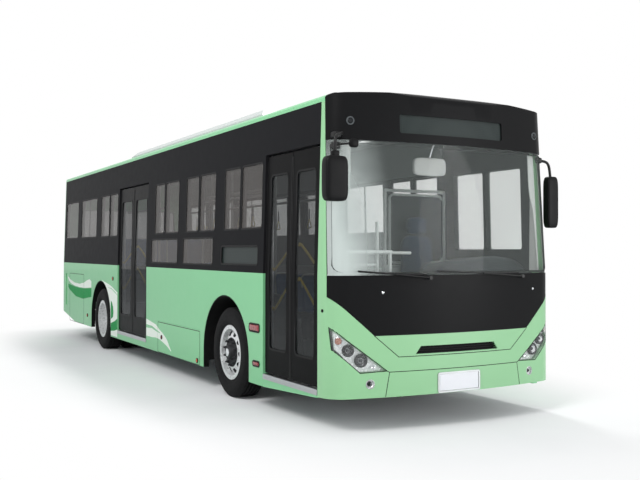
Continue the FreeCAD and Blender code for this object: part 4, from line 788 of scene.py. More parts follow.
def make_front():
    """Windscreen, mask, slats and cap: sheets between two depths that follow the bowed front face."""
    z, across = net((1.360, 2.520, 40), (-1, 1, 96))
    piece("windscreen_pane", end_sheet(screen_limit(z) * across, z, -0.001, -0.009), "clear glass with painted reflection",
          replaced=("windscreen",))
    outer = round_rect(-1.0, 1.0, 1.3605, 2.5195, 0.002, 14)
    inner = round_rect(-0.958, 0.958, 1.385, 2.497, 0.075, 14)
    ring = np.stack([outer, inner], 1)
    share, height = ring[..., 0], ring[..., 1]
    border = end_sheet(screen_limit(height) * share, height, -0.0005, -0.0105, closed_rows=True)
    piece("windscreen_border", border, "black mask enamel")
    trim = [on_end(screen_limit(inner[:, 1]) * inner[:, 0] * k, inner[:, 1], -0.0095) for k in (1.0, 0.994)]
    trim = np.stack(trim, 1)
    piece("windscreen_bead", slab(trim, trim + (0, 0.002, 0), closed_rows=True), "EPDM rubber")

    # The mask widens along its slanted lower edge, then runs up the corner posts.
    rows = np.concatenate([np.linspace(MASK_LOW_Z, MASK_TURN_Z, 24), np.linspace(1.20, 1.3595, 10)])
    slant = np.interp(rows, (MASK_LOW_Z, MASK_TURN_Z), (0.855, 1.233))
    post = w_at_s(0.230, rows)
    limit = np.where(rows < MASK_TURN_Z - 0.0001, np.minimum(w_at_x(slant, rows), post), post)
    z, across = net(rows, (-1, 1, 96))
    piece("mask_skin", end_sheet(limit[:, None] * across, z, -0.0005, -0.06), "black mask enamel",
          replaced=("front_mask",), bevel=0.003)

    bars = []
    for low, high, count, outer, inner in ((0.6722, 0.681, 3, -0.014, -0.034), (0.693, 0.701, 3, -0.014, -0.034),
                                           (0.713, 0.721, 3, -0.014, -0.034), (0.731, 0.7398, 3, -0.014, -0.034),
                                           (0.6722, 0.7398, 4, -0.052, -0.058)):
        z, across = net((low, high, count), (-1, 1, 40))
        half = np.interp(z, (0.672, 0.740), (0.457, 0.406))
        bars.append(end_sheet(w_at_x(half, z) * across, z, outer, inner))
    piece("slot_slats", bars, "black ABS")
    # The front surround and the grille panel take the mint with its painted highlight.
    dressed_copy("front_surround", "mint enamel with painted front highlight", 30)
    dressed_copy("front_cap", "black mask enamel", 30)
    dressed_copy("grille_panel", "mint enamel with painted front highlight", 30)


def make_front_details():
    """Seams, plate, washers, key switch and small lamps on the front."""
    seams = [face_line([(-0.735, 0.540), (-0.715, 0.529), (0.715, 0.529), (0.735, 0.540)]),
             face_line([(-0.712, 0.528), (-0.750, 0.318)]), face_line([(0.712, 0.528), (0.750, 0.318)]),
             face_line([(-0.855, 0.845), (-0.625, 0.655), (0.625, 0.655), (0.855, 0.845), (-0.855, 0.845)])]
    edge = ((0.735, 0.540), (0.980, 0.530), (1.208, 0.730), (1.223, 0.922), (1.104, 0.816), (0.735, 0.540))
    seams += [face_line(mirrored(sign, edge), -0.0008, 0.007) for sign in (-1, 1)]
    piece("bumper_seams", seams, "EPDM rubber")

    z, w = net((0.337, 0.481, 3), (-0.213, 0.213, 9))
    piece("number_plate", end_sheet(w, z, 0.006, 0.001), "white plate", bevel=0.001)
    border = round_rect(-0.226, 0.226, 0.326, 0.490, 0.012, 4)
    piece("plate_frame", end_loop(border, rib(0.010, -0.002, 0.008, 0.006), 0.002), "anodised aluminium")

    jet = filled([(0.0125, -0.001), (0.012, 0.004), (0.008, 0.008)], 0.009)
    piece("washer_jets", [end_disc(x, 1.211, jet, 20) for x in (-0.774, 0.942)], "polished chrome")
    rim = [(0.037, -0.001), (0.036, 0.006), (0.028, 0.008), (0.025, 0.003), (0.025, -0.001)]
    piece("cap_lamp_rims", [end_disc(x, 2.684, rim, 32) for x in (-1.036, 1.036)], "grey ABS")
    dome = filled([(0.025, 0.002), (0.018, 0.008)], 0.0095)
    piece("cap_lamp_lenses", [end_disc(x, 2.684, dome, 24) for x in (-1.036, 1.036)], "smoked dome")
    w, z = -w_at_s(0.276, 1.058), np.array(1.058)
    centre = on_end(w, z)
    key = filled([(0.015, -0.001), (0.014, 0.004), (0.006, 0.005)], 0.003)
    piece("door_key_switch", revolve(key, centre, on_end(w, z, 0.01) - centre, 20), "black ABS")


def lamp_patch(sign, outer, inner):
    """The headlamp's outline filled from its lower edge to its upper edge, between two depths."""
    rows, x = net((0, 1, 9), np.concatenate([np.linspace(0.742, 1.204, 26), np.linspace(1.208, 1.220, 4)]))
    z = np.interp(x, *LAMP_LOW) * (1 - rows) + np.interp(x, *LAMP_HIGH) * rows
    return end_sheet(sign * w_at_x(x, z), z, outer, inner)


def make_headlamps():
    """Headlamp units: silvered tray, two round lamps, an indicator, and a clear cover; fog lamps below."""
    trays, bowls, collars, bulbs, amber, covers, fog = [], [], [], [], [], [], []
    for sign in (-1, 1):
        trays.append(lamp_patch(sign, -0.040, -0.075))
        covers.append(lamp_patch(sign, -0.001, -0.004))
        for x, z, r in ((1.166, 0.806, 0.034), (1.080, 0.722, 0.044), (0.965, 0.634, 0.049)):
            spot = face_frame(sign * x, z, -0.040)
            indicator = r < 0.04
            cup = [(r, 0.030), (r * 0.94, 0.031), (r * 0.78, 0.012), (r * 0.35, -0.004), (AXIS_R, -0.006),
                   (AXIS_R, -0.02), (r * 0.9, -0.01), (r, 0.004)]
            bowls.append(revolve(cup, *spot, 36 if indicator else 40))
            if indicator:
                dome = [(r * 0.98, 0.016), (r * 0.7, 0.027), (AXIS_R, 0.032), (AXIS_R, 0.0)]
                amber.append(revolve(dome, *spot, 32))
                continue
            collar = [(r * 1.18, -0.004), (r * 1.18, 0.024), (r * 1.04, 0.0345), (r * 0.86, 0.032),
                      (r * 0.86, 0.010), (r * 1.05, -0.004)]
            collars.append(revolve(collar, *spot, 40))
            bulb = [(AXIS_R, 0.022), (r * 0.22, 0.020), (r * 0.36, 0.012), (r * 0.40, 0.0), (r * 0.40, -0.006),
                    (AXIS_R, -0.006)]
            bulbs.append(revolve(bulb, *spot, 32))
        cup = [(0.020, 0.022), (0.018, 0.022), (0.010, 0.006), (AXIS_R, 0.003), (AXIS_R, -0.01), (0.018, -0.01)]
        bowls.append(revolve(cup, *face_frame(sign * 0.856, 0.574, -0.040), 24))
        spot = face_frame(sign * 0.890, 0.433, -0.022)
        fog.append(revolve([(0.041, 0.022), (0.038, 0.0235), (0.034, 0.006), (0.016, -0.010), (AXIS_R, -0.014),
                            (AXIS_R, -0.02), (0.041, -0.02)], *spot, 40))
        bulbs.append(revolve([(AXIS_R, 0.016), (0.012, 0.013), (0.017, 0.004), (0.018, -0.008), (AXIS_R, -0.008)],
                             *spot, 24))
    piece("headlamp_trays", trays, "reflector", replaced=("headlamps",))
    piece("headlamp_bowls", bowls, "polished chrome")
    piece("headlamp_collars", collars, "black ABS")
    piece("headlamp_domes", bulbs, "smoked dome")
    piece("headlamp_indicators", amber, "russet lens")
    piece("headlamp_covers", covers, "clear lens")
    piece("fog_lamps", fog, "reflector")


def make_cabin():
    """Ceiling, light strips, linings, driver's partition, inside mirror and pale rails."""
    # The ceiling drops by 22 mm times the square of x over 1.1 m.
    x, s = net((-1.08, 1.08, 25), (0.36, 10.30, 12))
    upper = np.stack([x, FRONT_Y + s, 2.900 - 0.022 * (x / 1.1) ** 2], -1)
    # The ceiling takes the darkened laminate, whose colour is painted shade.
    piece("ceiling_panels", slab(upper, upper - (0, 0, 0.006)), "ceiling laminate with painted shade")
    strip = ((0.57, 2.888), (0.59, 2.872), (0.65, 2.872), (0.67, 2.888))
    frame_section = ((0.555, 2.892), (0.555, 2.880), (0.685, 2.880), (0.685, 2.892))
    strips = [prism(mirrored(sign, strip), 0.95 + 1.15 * k, 0.95 + 1.15 * k + 1.10)
              for sign in (-1, 1) for k in range(8)]
    piece("ceiling_lights", strips, "light diffuser")
    piece("ceiling_light_frames", [prism(mirrored(sign, frame_section), 0.93, 10.17) for sign in (-1, 1)],
          "anodised aluminium")

    # Linings start at the floor, or above the wheel arches, or above the engine's floor behind the rear ones.
    linings = []
    cove = ((1.145, 2.46), (1.140, 2.60), (1.05, 2.80), (0.98, 2.868), (1.02, 2.875), (1.135, 2.84))
    for side, spans in ((-1, ((1.50, 5.18), (6.67, 10.28))), (1, ((0.78, 10.28),))):
        for s0, s1 in spans:
            marks = [s for axle in AXLES.values() for s in (axle - ARCH_REACH, axle + ARCH_REACH) if s0 < s < s1]
            marks = sorted(marks + [s0, s1])
            for start, end in zip(marks[:-1], marks[1:]):
                middle = (start + end) / 2
                foot = SILL_Z
                if any(abs(middle - axle) < ARCH_REACH for axle in AXLES.values()):
                    foot = OVER_ARCH_Z
                elif middle > AXLES["rear"]:
                    foot = OVER_ENGINE_Z
                linings.append(wall_sheet(side, start + 0.002, end - 0.002, foot, 1.345, -0.0665, -0.0705))
            linings.append(prism(mirrored(side, cove), max(s0, 1.60 if side < 0 else 1.75), s1 - 0.02))
    piece("wall_linings", linings, "grey laminate", smooth=30)

    posts = []
    for sign in (-1, 1):
        z, f = net((1.37, 2.50, 12), (0, 1, 7))
        posts.append(end_sheet(sign * w_at_s(0.14 + 0.21 * f, z), z, -0.064, -0.072))
        z = np.linspace(1.366, 2.514, 12)
        edge = np.stack([on_end(sign * (screen_limit(z) - back), z, depth)
                         for back, depth in ((0.004, -0.012), (0.004, -0.072), (0.001, -0.072), (0.001, -0.012))], 1)
        posts.append((edge.reshape(-1, 3), tube_faces(*edge.shape[:2])))
    piece("post_linings", posts, "pale laminate")

    piece("inside_mirror_head", superbox(0.0, 0.45, 2.36, (0.37, 0.05, 0.17), 5, 20, 40), "pale laminate")
    piece("inside_mirror_stem", bar([(0.0, 0.455, 2.43), (0.0, 0.38, 2.56), (0.0, 0.24, 2.66), (0.0, 0.20, 2.70)],
                                    14, 0.009), "polished chrome")
    piece("inside_mirror_glass", superbox(0.0, 0.477, 2.36, (0.34, 0.006, 0.14), 6, 12, 36), "polished chrome")

    outline = round_rect(0.40, 1.10, 1.44, 2.19, 0.05, 6)
    front = np.insert(outline, 1, FRONT_Y + 1.731, axis=1)
    rows = np.stack([front, front * (0, 1, 0) + np.array([0.75, 0, 1.80])], 1)
    piece("partition_panel", slab(rows, rows + (0, 0.008, 0), closed_rows=True), "slate ABS")
    piece("partition_tube", tube(np.insert(outline, 1, FRONT_Y + 1.735, axis=1), 0.014), "pale powder coat")

    rails = [bar([(-1.06, 0.47, 1.55), (-0.80, 0.455, 1.552), (-0.50, 0.45, 1.553), (-0.21, 0.46, 1.55)], 16, 0.015),
             bar([(-0.487, 0.60, 0.40), (-0.487, 0.60, 1.10), (-0.487, 0.60, 1.84)], 14, 0.016),
             bar([(-1.00, 0.62, 1.44), (-0.75, 0.60, 1.44), (-0.487, 0.60, 1.44)], 10, 0.012)]
    rails += [bar([(side * 0.45, 3.05, 2.30), (side * 0.45, 5.0, 2.30)], 4, 0.015) for side in (-1, 1)]
    piece("pale_rails", rails, "pale powder coat")

    straps, loops = [], []
    ring = np.array([(0.0, 0.075), (0.055, -0.035), (0.05, -0.045), (-0.05, -0.045), (-0.055, -0.035)])
    for side, stations in ((-1, np.arange(3.4, 5.1, 0.42)), (1, np.arange(3.3, 8.4, 0.46))):
        x = side * 0.484
        for s in stations:
            straps.append(block(x - 0.002, x + 0.002, s - 0.013, s + 0.013, 1.985, 2.12))
            path = np.insert(ring + (FRONT_Y + s, 1.915), 0, x, axis=1)
            loops.append(sweep(path, (1, 0, 0), ring_section(0.007, 8), closed_path=True))
    piece("hand_straps", straps, "black ABS")
    piece("hand_loops", loops, "yellow powder coat")


def make_dashboard():
    """Hooded dashboard with its dials, screen, switches and a rim for the steering wheel.

    The shell is a closed loop of (station, height) at each x; the hood's rise over the driver's side
    moves the loop's upper points.
    """
    x = np.linspace(-0.50, 1.165, 60)
    rise = np.interp(x, [-0.5, -0.12, 0.02, 0.16, 0.50, 0.90, 1.05, 1.165],
                     [1.232, 1.235, 1.30, 1.452, 1.49, 1.515, 1.50, 1.44])
    front_low, front_high = (on_end(w_at_x(x, np.full_like(x, z)), z, -0.070)[:, 1] - FRONT_Y
                             for z in (0.905, 1.235))
    hood = (rise - 1.235) / 0.28
    loop = [(front_low, 0.905), (0.47, 0.905), (0.56, 0.566), (0.70, 0.566), (0.757, 0.905), (0.742, 1.08),
            (0.70, 1.18 + 0.06 * hood), (0.66, 1.20 + 0.19 * hood), (0.72, rise - 0.035), (0.722, rise - 0.012),
            (0.70, rise), (0.60, rise + 0.004), (0.48, rise - 0.01), (0.40, 1.235 + 0.6 * (rise - 1.235)),
            (0.33, 1.235 + 0.2 * (rise - 1.235)), (front_high, 1.236)]
    points = np.stack([np.stack(np.broadcast_arrays(x, FRONT_Y + s, z), -1) for s, z in loop], 1)
    piece("dashboard_shell", (points.reshape(-1, 3), tube_faces(*points.shape[:2])), "slate ABS",
          replaced=("dashboard",), smooth=50)

    dials, needles = [], []
    r = 0.062
    for px in (0.60, 0.76):
        dial = filled([(r, -0.02), (r, 0.008), (r * 0.92, 0.010), (r * 0.90, 0.002)], 0.002)
        dials.append(revolve(dial, (px, FRONT_Y + 0.702, 1.345), (0, 0.95, 0.30), 40))
        needle = np.array([(px - 0.003, 1.345), (px + 0.003, 1.345), (px + 0.03, 1.345 + 0.045)])
        needle = np.insert(needle, 1, FRONT_Y + 0.7045, axis=1)
        needles.append((np.concatenate([needle, needle + (0, 0.0015, 0)]),
                        [[0, 1, 2], [5, 4, 3], [0, 3, 4, 1], [1, 4, 5, 2], [2, 5, 3, 0]]))
    piece("dial_housings", dials, "black ABS")
    piece("dial_needles", needles, "orange lens")
    piece("dashboard_screens", [superbox(0.935, 0.70, 1.34, (0.15, 0.03, 0.10), 9, 14, 28),
                                superbox(0.42, 0.70, 1.345, (0.14, 0.03, 0.075), 9, 14, 28)], "smoked dome")
    piece("dashboard_switches", [superbox(0.32 + 0.05 * k, 0.735, 1.15, (0.034, 0.02, 0.022), 6, 10, 16)
                                 for k in range(9)], "grey ABS")

    axis = np.array([0, 0.45, 0.89]) / math.hypot(0.45, 0.89)
    centre = np.array([0.70, FRONT_Y + 1.0, 1.19])
    boss = filled([(0.066, -0.035), (0.068, -0.005), (0.058, 0.014), (0.03, 0.024)], 0.026)
    wheel = [revolve(ring_section(0.0155, 24) + (0.225, 0), centre, axis, 72), revolve(boss, centre, axis, 40)]
    slanted = np.cross(axis, [1, 0, 0])
    for angle in (200, 340, 90):
        turn = math.radians(angle)
        out = math.cos(turn) * np.array([1.0, 0, 0]) - math.sin(turn) * slanted
        path = centre + np.linspace(0.05, 0.222, 8)[:, None] * out - axis * np.linspace(0.012, 0.0, 8)[:, None]
        wheel.append(sweep(path, axis, ring_section(0.017, 12, 0.55)))
    piece("steering_grip", wheel, "black ABS")
    dressed_copy("steering_wheel", "black ABS", 40)


def make_side_trim():
    """Rubber round the side windows, frames behind the glass, door sills, and the seams of panels and flaps."""
    for side, label in ((-1, "right"), (1, "left")):
        loops = [(s0, s1) + WINDOW_Z for s0, s1 in WINDOWS[side]]
        frames = [side_loop(side, round_rect(s0 + 0.008, s1 - 0.008, z0 + 0.008, z1 - 0.008, 0.028),
                            rib(0.012, -0.020, 0.012, -0.030)) for s0, s1, z0, z1 in loops]
        stiles = [wall_sheet(side, (s0 + s1) / 2 - 0.014, (s0 + s1) / 2 + 0.014, 1.80, 2.43, -0.014, -0.022)
                  for s0, s1 in WINDOWS[side] if s1 - s0 >= 0.6 and s0 <= 8.9]
        if side < 0:
            loops += [(s0, s1) + LOW_WINDOW_Z for s0, s1 in LOW_WINDOWS] + [SIDE_SIGN]
        else:
            loops += [(s0, s1) + CAB_WINDOW_Z for s0, s1 in CAB_WINDOWS]
        beads = [side_loop(side, round_rect(s0, s1, z0, z1, 0.035), bead(0.018, 0.003)) for s0, s1, z0, z1 in loops]
        piece(label + "_window_rubbers", beads, "EPDM rubber")
        piece(label + "_window_frames", stiles + frames, "black aluminium")
    section = [(0.05, 0.0), (-0.052, 0.0), (-0.054, -0.045), (-0.0515, -0.045), (-0.0505, 0.0035), (-0.04, 0.005),
               (-0.03, 0.0035), (-0.02, 0.005), (-0.01, 0.0035), (0.0, 0.005), (0.01, 0.0035), (0.02, 0.005),
               (0.03, 0.0035), (0.05, 0.0035)]
    sills = [sweep([(-1.2, FRONT_Y + s0 + 0.004, FLOOR_Z), (-1.2, FRONT_Y + s1 - 0.004, FLOOR_Z)], (0, 0, 1), section)
             for s0, s1 in DOORS.values()]
    piece("door_sills", sills, "anodised aluminium")
    piece("left_panel_seams", [wall_sheet(1, s, s + 0.004, z, 1.335, 0.0006, -0.001)
                               for s, z in ((1.66, 0.30), (3.20, 0.30), (4.70, 0.30), (6.20, 0.30), (8.42, 0.34))],
          "EPDM rubber")
    for node in ("service_flap", "rear_flap"):
        low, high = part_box(node)
        # The top run stays below the rounded hinge edge, so the lifted flap clears the panel above it.
        outline = round_rect(low[1] - FRONT_Y + 0.004, high[1] - FRONT_Y - 0.004, low[2] + 0.004, high[2] - 0.0175,
                             0.012, 4)
        piece(node + "_seam", side_loop(-1, outline, rib(0.0035, -0.001, 0.0035, 0.0008)), "EPDM rubber",
              NODES[node]["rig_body"])


def make_doors():
    """Seals, glass gaskets and grab bars that ride on each door leaf."""
    gasket = rib(0.010, -0.004, 0.009, 0.002)
    z, f = net((0.40, 2.44, 10), (0, 1, 3))
    face = -DOOR_RECESS + 0.0022
    for door, (s0, s1) in DOORS.items():
        width = (s1 - s0 - 2 * JAMB_GAP - MEET_GAP) / 2
        for end, start in (("fore", s0 + JAMB_GAP), ("aft", s1 - JAMB_GAP - width)):
            body = "%s_%s_leaf" % (door, end)
            low, high = start + LEAF_FRAME, start + width - LEAF_FRAME
            loop = side_loop(-1, round_rect(low, high, *LEAF_GLASS_Z, 0.05), gasket, -DOOR_RECESS + 0.001)
            piece(body + "_gasket", loop, "EPDM rubber", body)
            fore = end == "fore"
            meet = start + width - 0.014 if fore else start
            hinge = start + 0.002 if fore else start + width - 0.012
            piece(body + "_seals", [side_sheet(-1, meet + 0.014 * f, z, face, -DOOR_RECESS - 0.028),
                                    side_sheet(-1, hinge + 0.010 * f, z, face, -DOOR_RECESS - 0.003)],
                  "EPDM rubber", body)
            near, far = (low + 0.02, high - 0.01) if fore else (high - 0.02, low + 0.01)
            bars = []
            for z0, z1 in ((1.02, 1.30), (1.40, 1.62)):
                route = on_side(-1, [near, near, far, far], [z0, z0, z1, z1], [-0.050, -0.080, -0.080, -0.050])
                bars.append(bar(route - (0, FRONT_Y, 0), 24, 0.011))
            piece(body + "_grab_bars", bars, "yellow powder coat", body)


def make_side_lamps():
    """Marker lamps on both sides with their dark rims, and the tail lamp columns.

    A long lens swells by 13.5 mm times the roots of 1 - u^6 and 1 - v^4, a tail lens by 7 mm times those of
    1 - u^6 and 1 - v^6, where u and v run from -1 to 1 across it.
    """
    rims, orange, red, cores = [], [], [], []
    dome = filled([(0.0215, -0.001), (0.0215, 0.011), (0.015, 0.015)], 0.016)
    for side in (-1, 1):
        for s0, s1, z0, z1 in LONG_LAMPS:
            rims.append(side_loop(side, round_rect(s0 - 0.006, s1 + 0.006, z0 - 0.006, z1 + 0.006, 0.022, 6),
                                  rib(0.008, -0.002, 0.006, 0.007)))
            s, z = net((s0, s1, 24), (z0, z1, 10))
            u, v = 2 * (s - s0) / (s1 - s0) - 1, 2 * (z - z0) / (z1 - z0) - 1
            swell = 0.0135 * (1 - np.abs(u) ** 6) ** 0.5 * (1 - np.abs(v) ** 4) ** 0.5
            red.append(side_sheet(side, s, z, 0.001 + swell, -0.001))
            core = [(0.012, 0.012), (0.008, 0.0165), (AXIS_R, 0.018), (AXIS_R, 0.011)]
            cores.append(side_disc(side, (s0 + s1) / 2, (z0 + z1) / 2, core, 16))
        red.append(side_disc(side, 4.550, 0.456, dome))
        rims.append(side_disc(side, 4.550, 0.456, [(0.029, -0.001), (0.029, 0.008), (0.024, 0.010), (0.0215, 0.006),
                                                   (0.0215, -0.001)]))
        for s, z in ROUND_LAMPS:
            rims.append(side_disc(side, s, z, [(0.030, -0.001), (0.030, 0.008), (0.024, 0.010), (0.021, 0.006),
                                               (0.021, -0.001)]))
            orange.append(side_disc(side, s, z, dome))
    tails = {"red lens": [], "orange lens": [], "clear lens": []}
    order = ("red lens", "clear lens", "orange lens", "red lens")
    step = (TAIL_TOP_Z - TAIL_LOW_Z) / len(order)
    for sign in (-1, 1):
        for k, lens_name in enumerate(order):
            low, high = TAIL_LOW_Z + k * step + 0.006, TAIL_LOW_Z + (k + 1) * step - 0.006
            x, z = net((TAIL_X + 0.007, TAIL_X + TAIL_W - 0.007, 9), (low, high, 12))
            u, v = 2 * (x - x.min()) / (x.max() - x.min()) - 1, 2 * (z - low) / (high - low) - 1
            swell = 0.007 * np.sqrt((1 - u ** 6) * (1 - v ** 6))
            tails[lens_name].append(end_sheet(sign * w_at_x(x, z, False), z, 0.0005 + swell, -0.006, False))
        x, z = net((TAIL_X + 0.001, TAIL_X + TAIL_W - 0.001, 5), (TAIL_LOW_Z + 0.001, TAIL_TOP_Z - 0.001, 12))
        rims.append(end_sheet(sign * w_at_x(x, z, False), z, -0.003, -0.035, False))
    for lens_name, parts in tails.items():
        piece("tail_" + lens_name.replace(" ", "_"), parts, lens_name)
    piece("side_lamp_rims", rims, "black ABS")
    piece("side_lamps", red, "red lens", replaced=("marker_lamps",))
    piece("side_lamp_cores", cores, "red lens")
    piece("round_side_lamps", orange, "orange lens")


def make_rear():
    """Rear window rubber, hatch louvres and handle, blank plate, bumper seams and round lamps."""
    outline = round_rect(-0.95, 0.95, 1.50, 2.35, 0.060, 8)
    step = np.roll(outline, -1, 0) - outline
    dense = outline[:, None] + step[:, None] * np.linspace(0, 1, 5, endpoint=False)[:, None]
    piece("rear_window_rubber", end_loop(dense.reshape(-1, 2), bead(0.026, 0.006), front=False), "EPDM rubber")

    # Each louvre stands 12 mm proud at its foot and 2 mm at its head.
    louvres = []
    for sign in (-1, 1):
        for k in range(9):
            x, f = net((0.16, 0.72, 12), (0, 1, 3))
            z = 0.735 + 0.042 * k + 0.028 * f
            louvres.append(end_sheet(sign * w_at_x(x, z, False), z, 0.012 - 0.010 * f, 0.0004, False))
    piece("hatch_louvres", louvres, "mint enamel", "engine_hatch")
    piece("hatch_handle", superbox(0.0, LENGTH + 0.004, 0.70, (0.16, 0.024, 0.035), 5), "black ABS", "engine_hatch")

    x, z = net((-0.215, 0.215, 7), (0.465, 0.605, 3))
    piece("rear_plate", end_sheet(w_at_x(x, z, False), z, 0.006, 0.0008, False), "white plate")
    border = round_rect(-0.226, 0.226, 0.455, 0.615, 0.012, 4)
    piece("rear_plate_frame", end_loop(border, rib(0.009, -0.0015, 0.007, 0.006), 0.002, False),
          "anodised aluminium")
    piece("rear_seams", [face_line([(-1.15, 0.655), (-0.92, 0.655)], front=False),
                         face_line([(0.92, 0.655), (1.15, 0.655)], front=False)], "EPDM rubber")
    lamps = []
    for x in (-1.02, 1.02):
        lamps.append(end_disc(x, 2.62, filled([(0.035, -0.001), (0.034, 0.010), (0.020, 0.016)], 0.018), 28, False))
        lamps.append(end_disc(x * 0.9, 0.47, filled([(0.035, -0.001), (0.034, 0.006), (0.020, 0.010)], 0.011), 28,
                              False))
    piece("rear_round_lamps", lamps, "red lens")


def seat_patch(middle, width, s0, z0, profile, reach, cut, low, high):
    """A curved seat: a profile of (station, height) drawn across a width whose sides turn up.

    The lift along the profile's normal is 28 mm times the cube of the share of the half width. A pad is
    cut short at both ends of the profile, and swells to its height in its middle.
    """
    route = smooth_route([(0.0, s0 + s, z0 + z) for s, z in profile], 40)[:, 1:]
    tangent = np.gradient(route, axis=0)
    tangent /= np.linalg.norm(tangent, axis=1, keepdims=True)
    normal = np.stack([-tangent[:, 1], tangent[:, 0]], -1)
    rows = slice(cut, len(route) - cut)
    route, normal = route[rows], normal[rows]
    v, u = net((-1, 1, len(route)), (-reach, reach, 15))

    def skin(offset):
        away = 0.028 * np.abs(u) ** 3 + offset
        return np.stack([middle + u * width / 2, route[:, :1] + normal[:, :1] * away,
                         route[:, 1:] + normal[:, 1:] * away], -1)

    puff = high * np.sqrt((1 - np.abs(u / reach) ** 6) * (1 - np.abs(v) ** 10)) if high > 0 else 0.0
    return slab(skin(puff), skin(low))


def make_seats():
    """Moulded double seats with pads, a bench across the back, and the driver's sprung seat."""
    shells, pads, legs, grips = [], [], [], []

    def seat(middle, width, s0, z0, profile):
        shells.append(seat_patch(middle, width, s0, z0, profile, 1.0, 0, -0.010, 0.0))
        pads.append(seat_patch(middle, width, s0, z0, profile, 0.80, 3, 0.0006, 0.014))

    profile = [(0.004, 0.395), (0.022, 0.430), (0.20, 0.414), (0.352, 0.402), (0.402, 0.440), (0.428, 0.58),
               (0.455, 0.74), (0.476, 0.852)]
    for side, rows in SEAT_ROWS.items():
        for s0 in rows:
            for middle in (0.520, 0.950):
                seat(side * middle, 0.415, s0, FLOOR_Z, profile)
            legs.append(block(side * 0.62, side * 0.85, s0 + 0.13, s0 + 0.29, FLOOR_Z + 0.002, FLOOR_Z + 0.30))
            legs.append(block(side * 0.36, side * 1.10, s0 + 0.06, s0 + 0.34, FLOOR_Z + 0.30, FLOOR_Z + 0.375))
            grips.append(bar([(side * 0.33, s0 + 0.49, FLOOR_Z + 0.72), (side * 0.335, s0 + 0.50, FLOOR_Z + 0.86),
                              (side * 0.40, s0 + 0.50, FLOOR_Z + 0.895), (side * 0.55, s0 + 0.50, FLOOR_Z + 0.895)],
                             18, 0.012))
    bench = [(0.0, 0.15), (0.022, 0.180), (0.24, 0.166), (0.41, 0.152), (0.452, 0.19), (0.478, 0.34), (0.505, 0.52),
             (0.520, 0.632)]
    for middle in (-0.88, -0.44, 0.0, 0.44, 0.88):
        seat(middle, 0.425, BENCH_S, BENCH_Z, bench)
    base = ((0.01, 0.002), (0.01, 0.135), (0.44, 0.115), (0.53, 0.60), (0.58, 0.62), (0.54, 0.002))
    legs.append(along_x([(BENCH_S + s, BENCH_Z + z) for s, z in base], -1.12, 1.12))
    piece("seat_shells", shells, "blue seat polymer", replaced=("passenger_seats",))
    piece("seat_pads", pads, "blue moquette")
    piece("seat_legs", legs, "slate ABS", bevel=0.004)
    piece("seat_grips", grips, "pale powder coat")

    rings = [superbox(0.70, 1.455, 0.60 + 0.042 * k, (0.35 - 0.02 * (k % 2), 0.32 - 0.02 * (k % 2), 0.046), 7, 10, 28)
             for k in range(6)]
    piece("driver_seat_bellows", rings, "black ABS", replaced=("driver_seat",))
    cushion(superbox(0.70, 1.475, 0.915, (0.465, 0.475, 0.105), 5, 20, 40), "driver_cushion", 0.012)
    cushion(superbox(0.70, 1.655, 1.355, (0.425, 0.075, 0.79), 5, 20, 40), "driver_back", 0.012)
    cushion(superbox(0.70, 1.655, 1.845, (0.25, 0.07, 0.18), 5, 16, 32), "driver_headrest", 0.010)


def make_tyres():
    """Road tyres: ribbed tread with four grooves, shoulders and a bulged sidewall with its rings."""
    w = TYRE_W / 2
    half = [(0.262, 0.104), (0.296, 0.104), (0.298, 0.118), (0.312, 0.126), (0.318, 0.1315), (0.322, 0.1285),
            (0.345, w - 0.0035), (0.352, w - 0.0015), (0.360, w - 0.0025), (0.385, w), (0.410, w - 0.002),
            (0.425, w - 0.0055), (0.436, w - 0.008), (0.440, w - 0.0115), (0.458, w - 0.022), (0.470, w - 0.030),
            (0.4785, w - 0.038), (0.479, w - 0.052), (0.479, 0.070), (0.466, 0.067), (0.466, 0.059), (0.479, 0.056),
            (0.479, 0.028), (0.466, 0.025), (0.466, 0.017), (0.479, 0.014)]
    profile = half + [(r, -x) for r, x in reversed(half)]
    for end, plural in PLURALS.items():
        for sign, label in ((1, "left"), (-1, "right")):
            centres = [WHEEL_X[end]] + ([WHEEL_X[end] - TWIN_SPACING] if plural else [])
            rings = [revolve(profile, (sign * x, FRONT_Y + AXLES[end], TYRE_R), (1, 0, 0), 96) for x in centres]
            name = "%s_%s_tyre%s" % (end, label, plural)
            piece(name + "_tread", rings, "tyre rubber", "%s_%s_wheel%s" % (end, label, plural), (name,))


def disc_surface(node, centre, sign, radius):
    """Where a wheel's outer surface lies at a radius, as (offset, outward slope), found by two rays."""
    mesh = NODES[node].data
    tree = BVHTree.FromPolygons([v.co for v in mesh.vertices], [tuple(p.vertices) for p in mesh.polygons])
    depths = []
    for r in (radius - 0.02, radius + 0.02):
        start = (centre[0] + sign * 0.6, centre[1] + r * 0.7071, centre[2] + r * 0.7071)
        hit = tree.ray_cast(start, (-sign, 0, 0))[0]
        depths.append(sign * (hit[0] - centre[0]))
    return sum(depths) / 2, (depths[1] - depths[0]) / 0.04


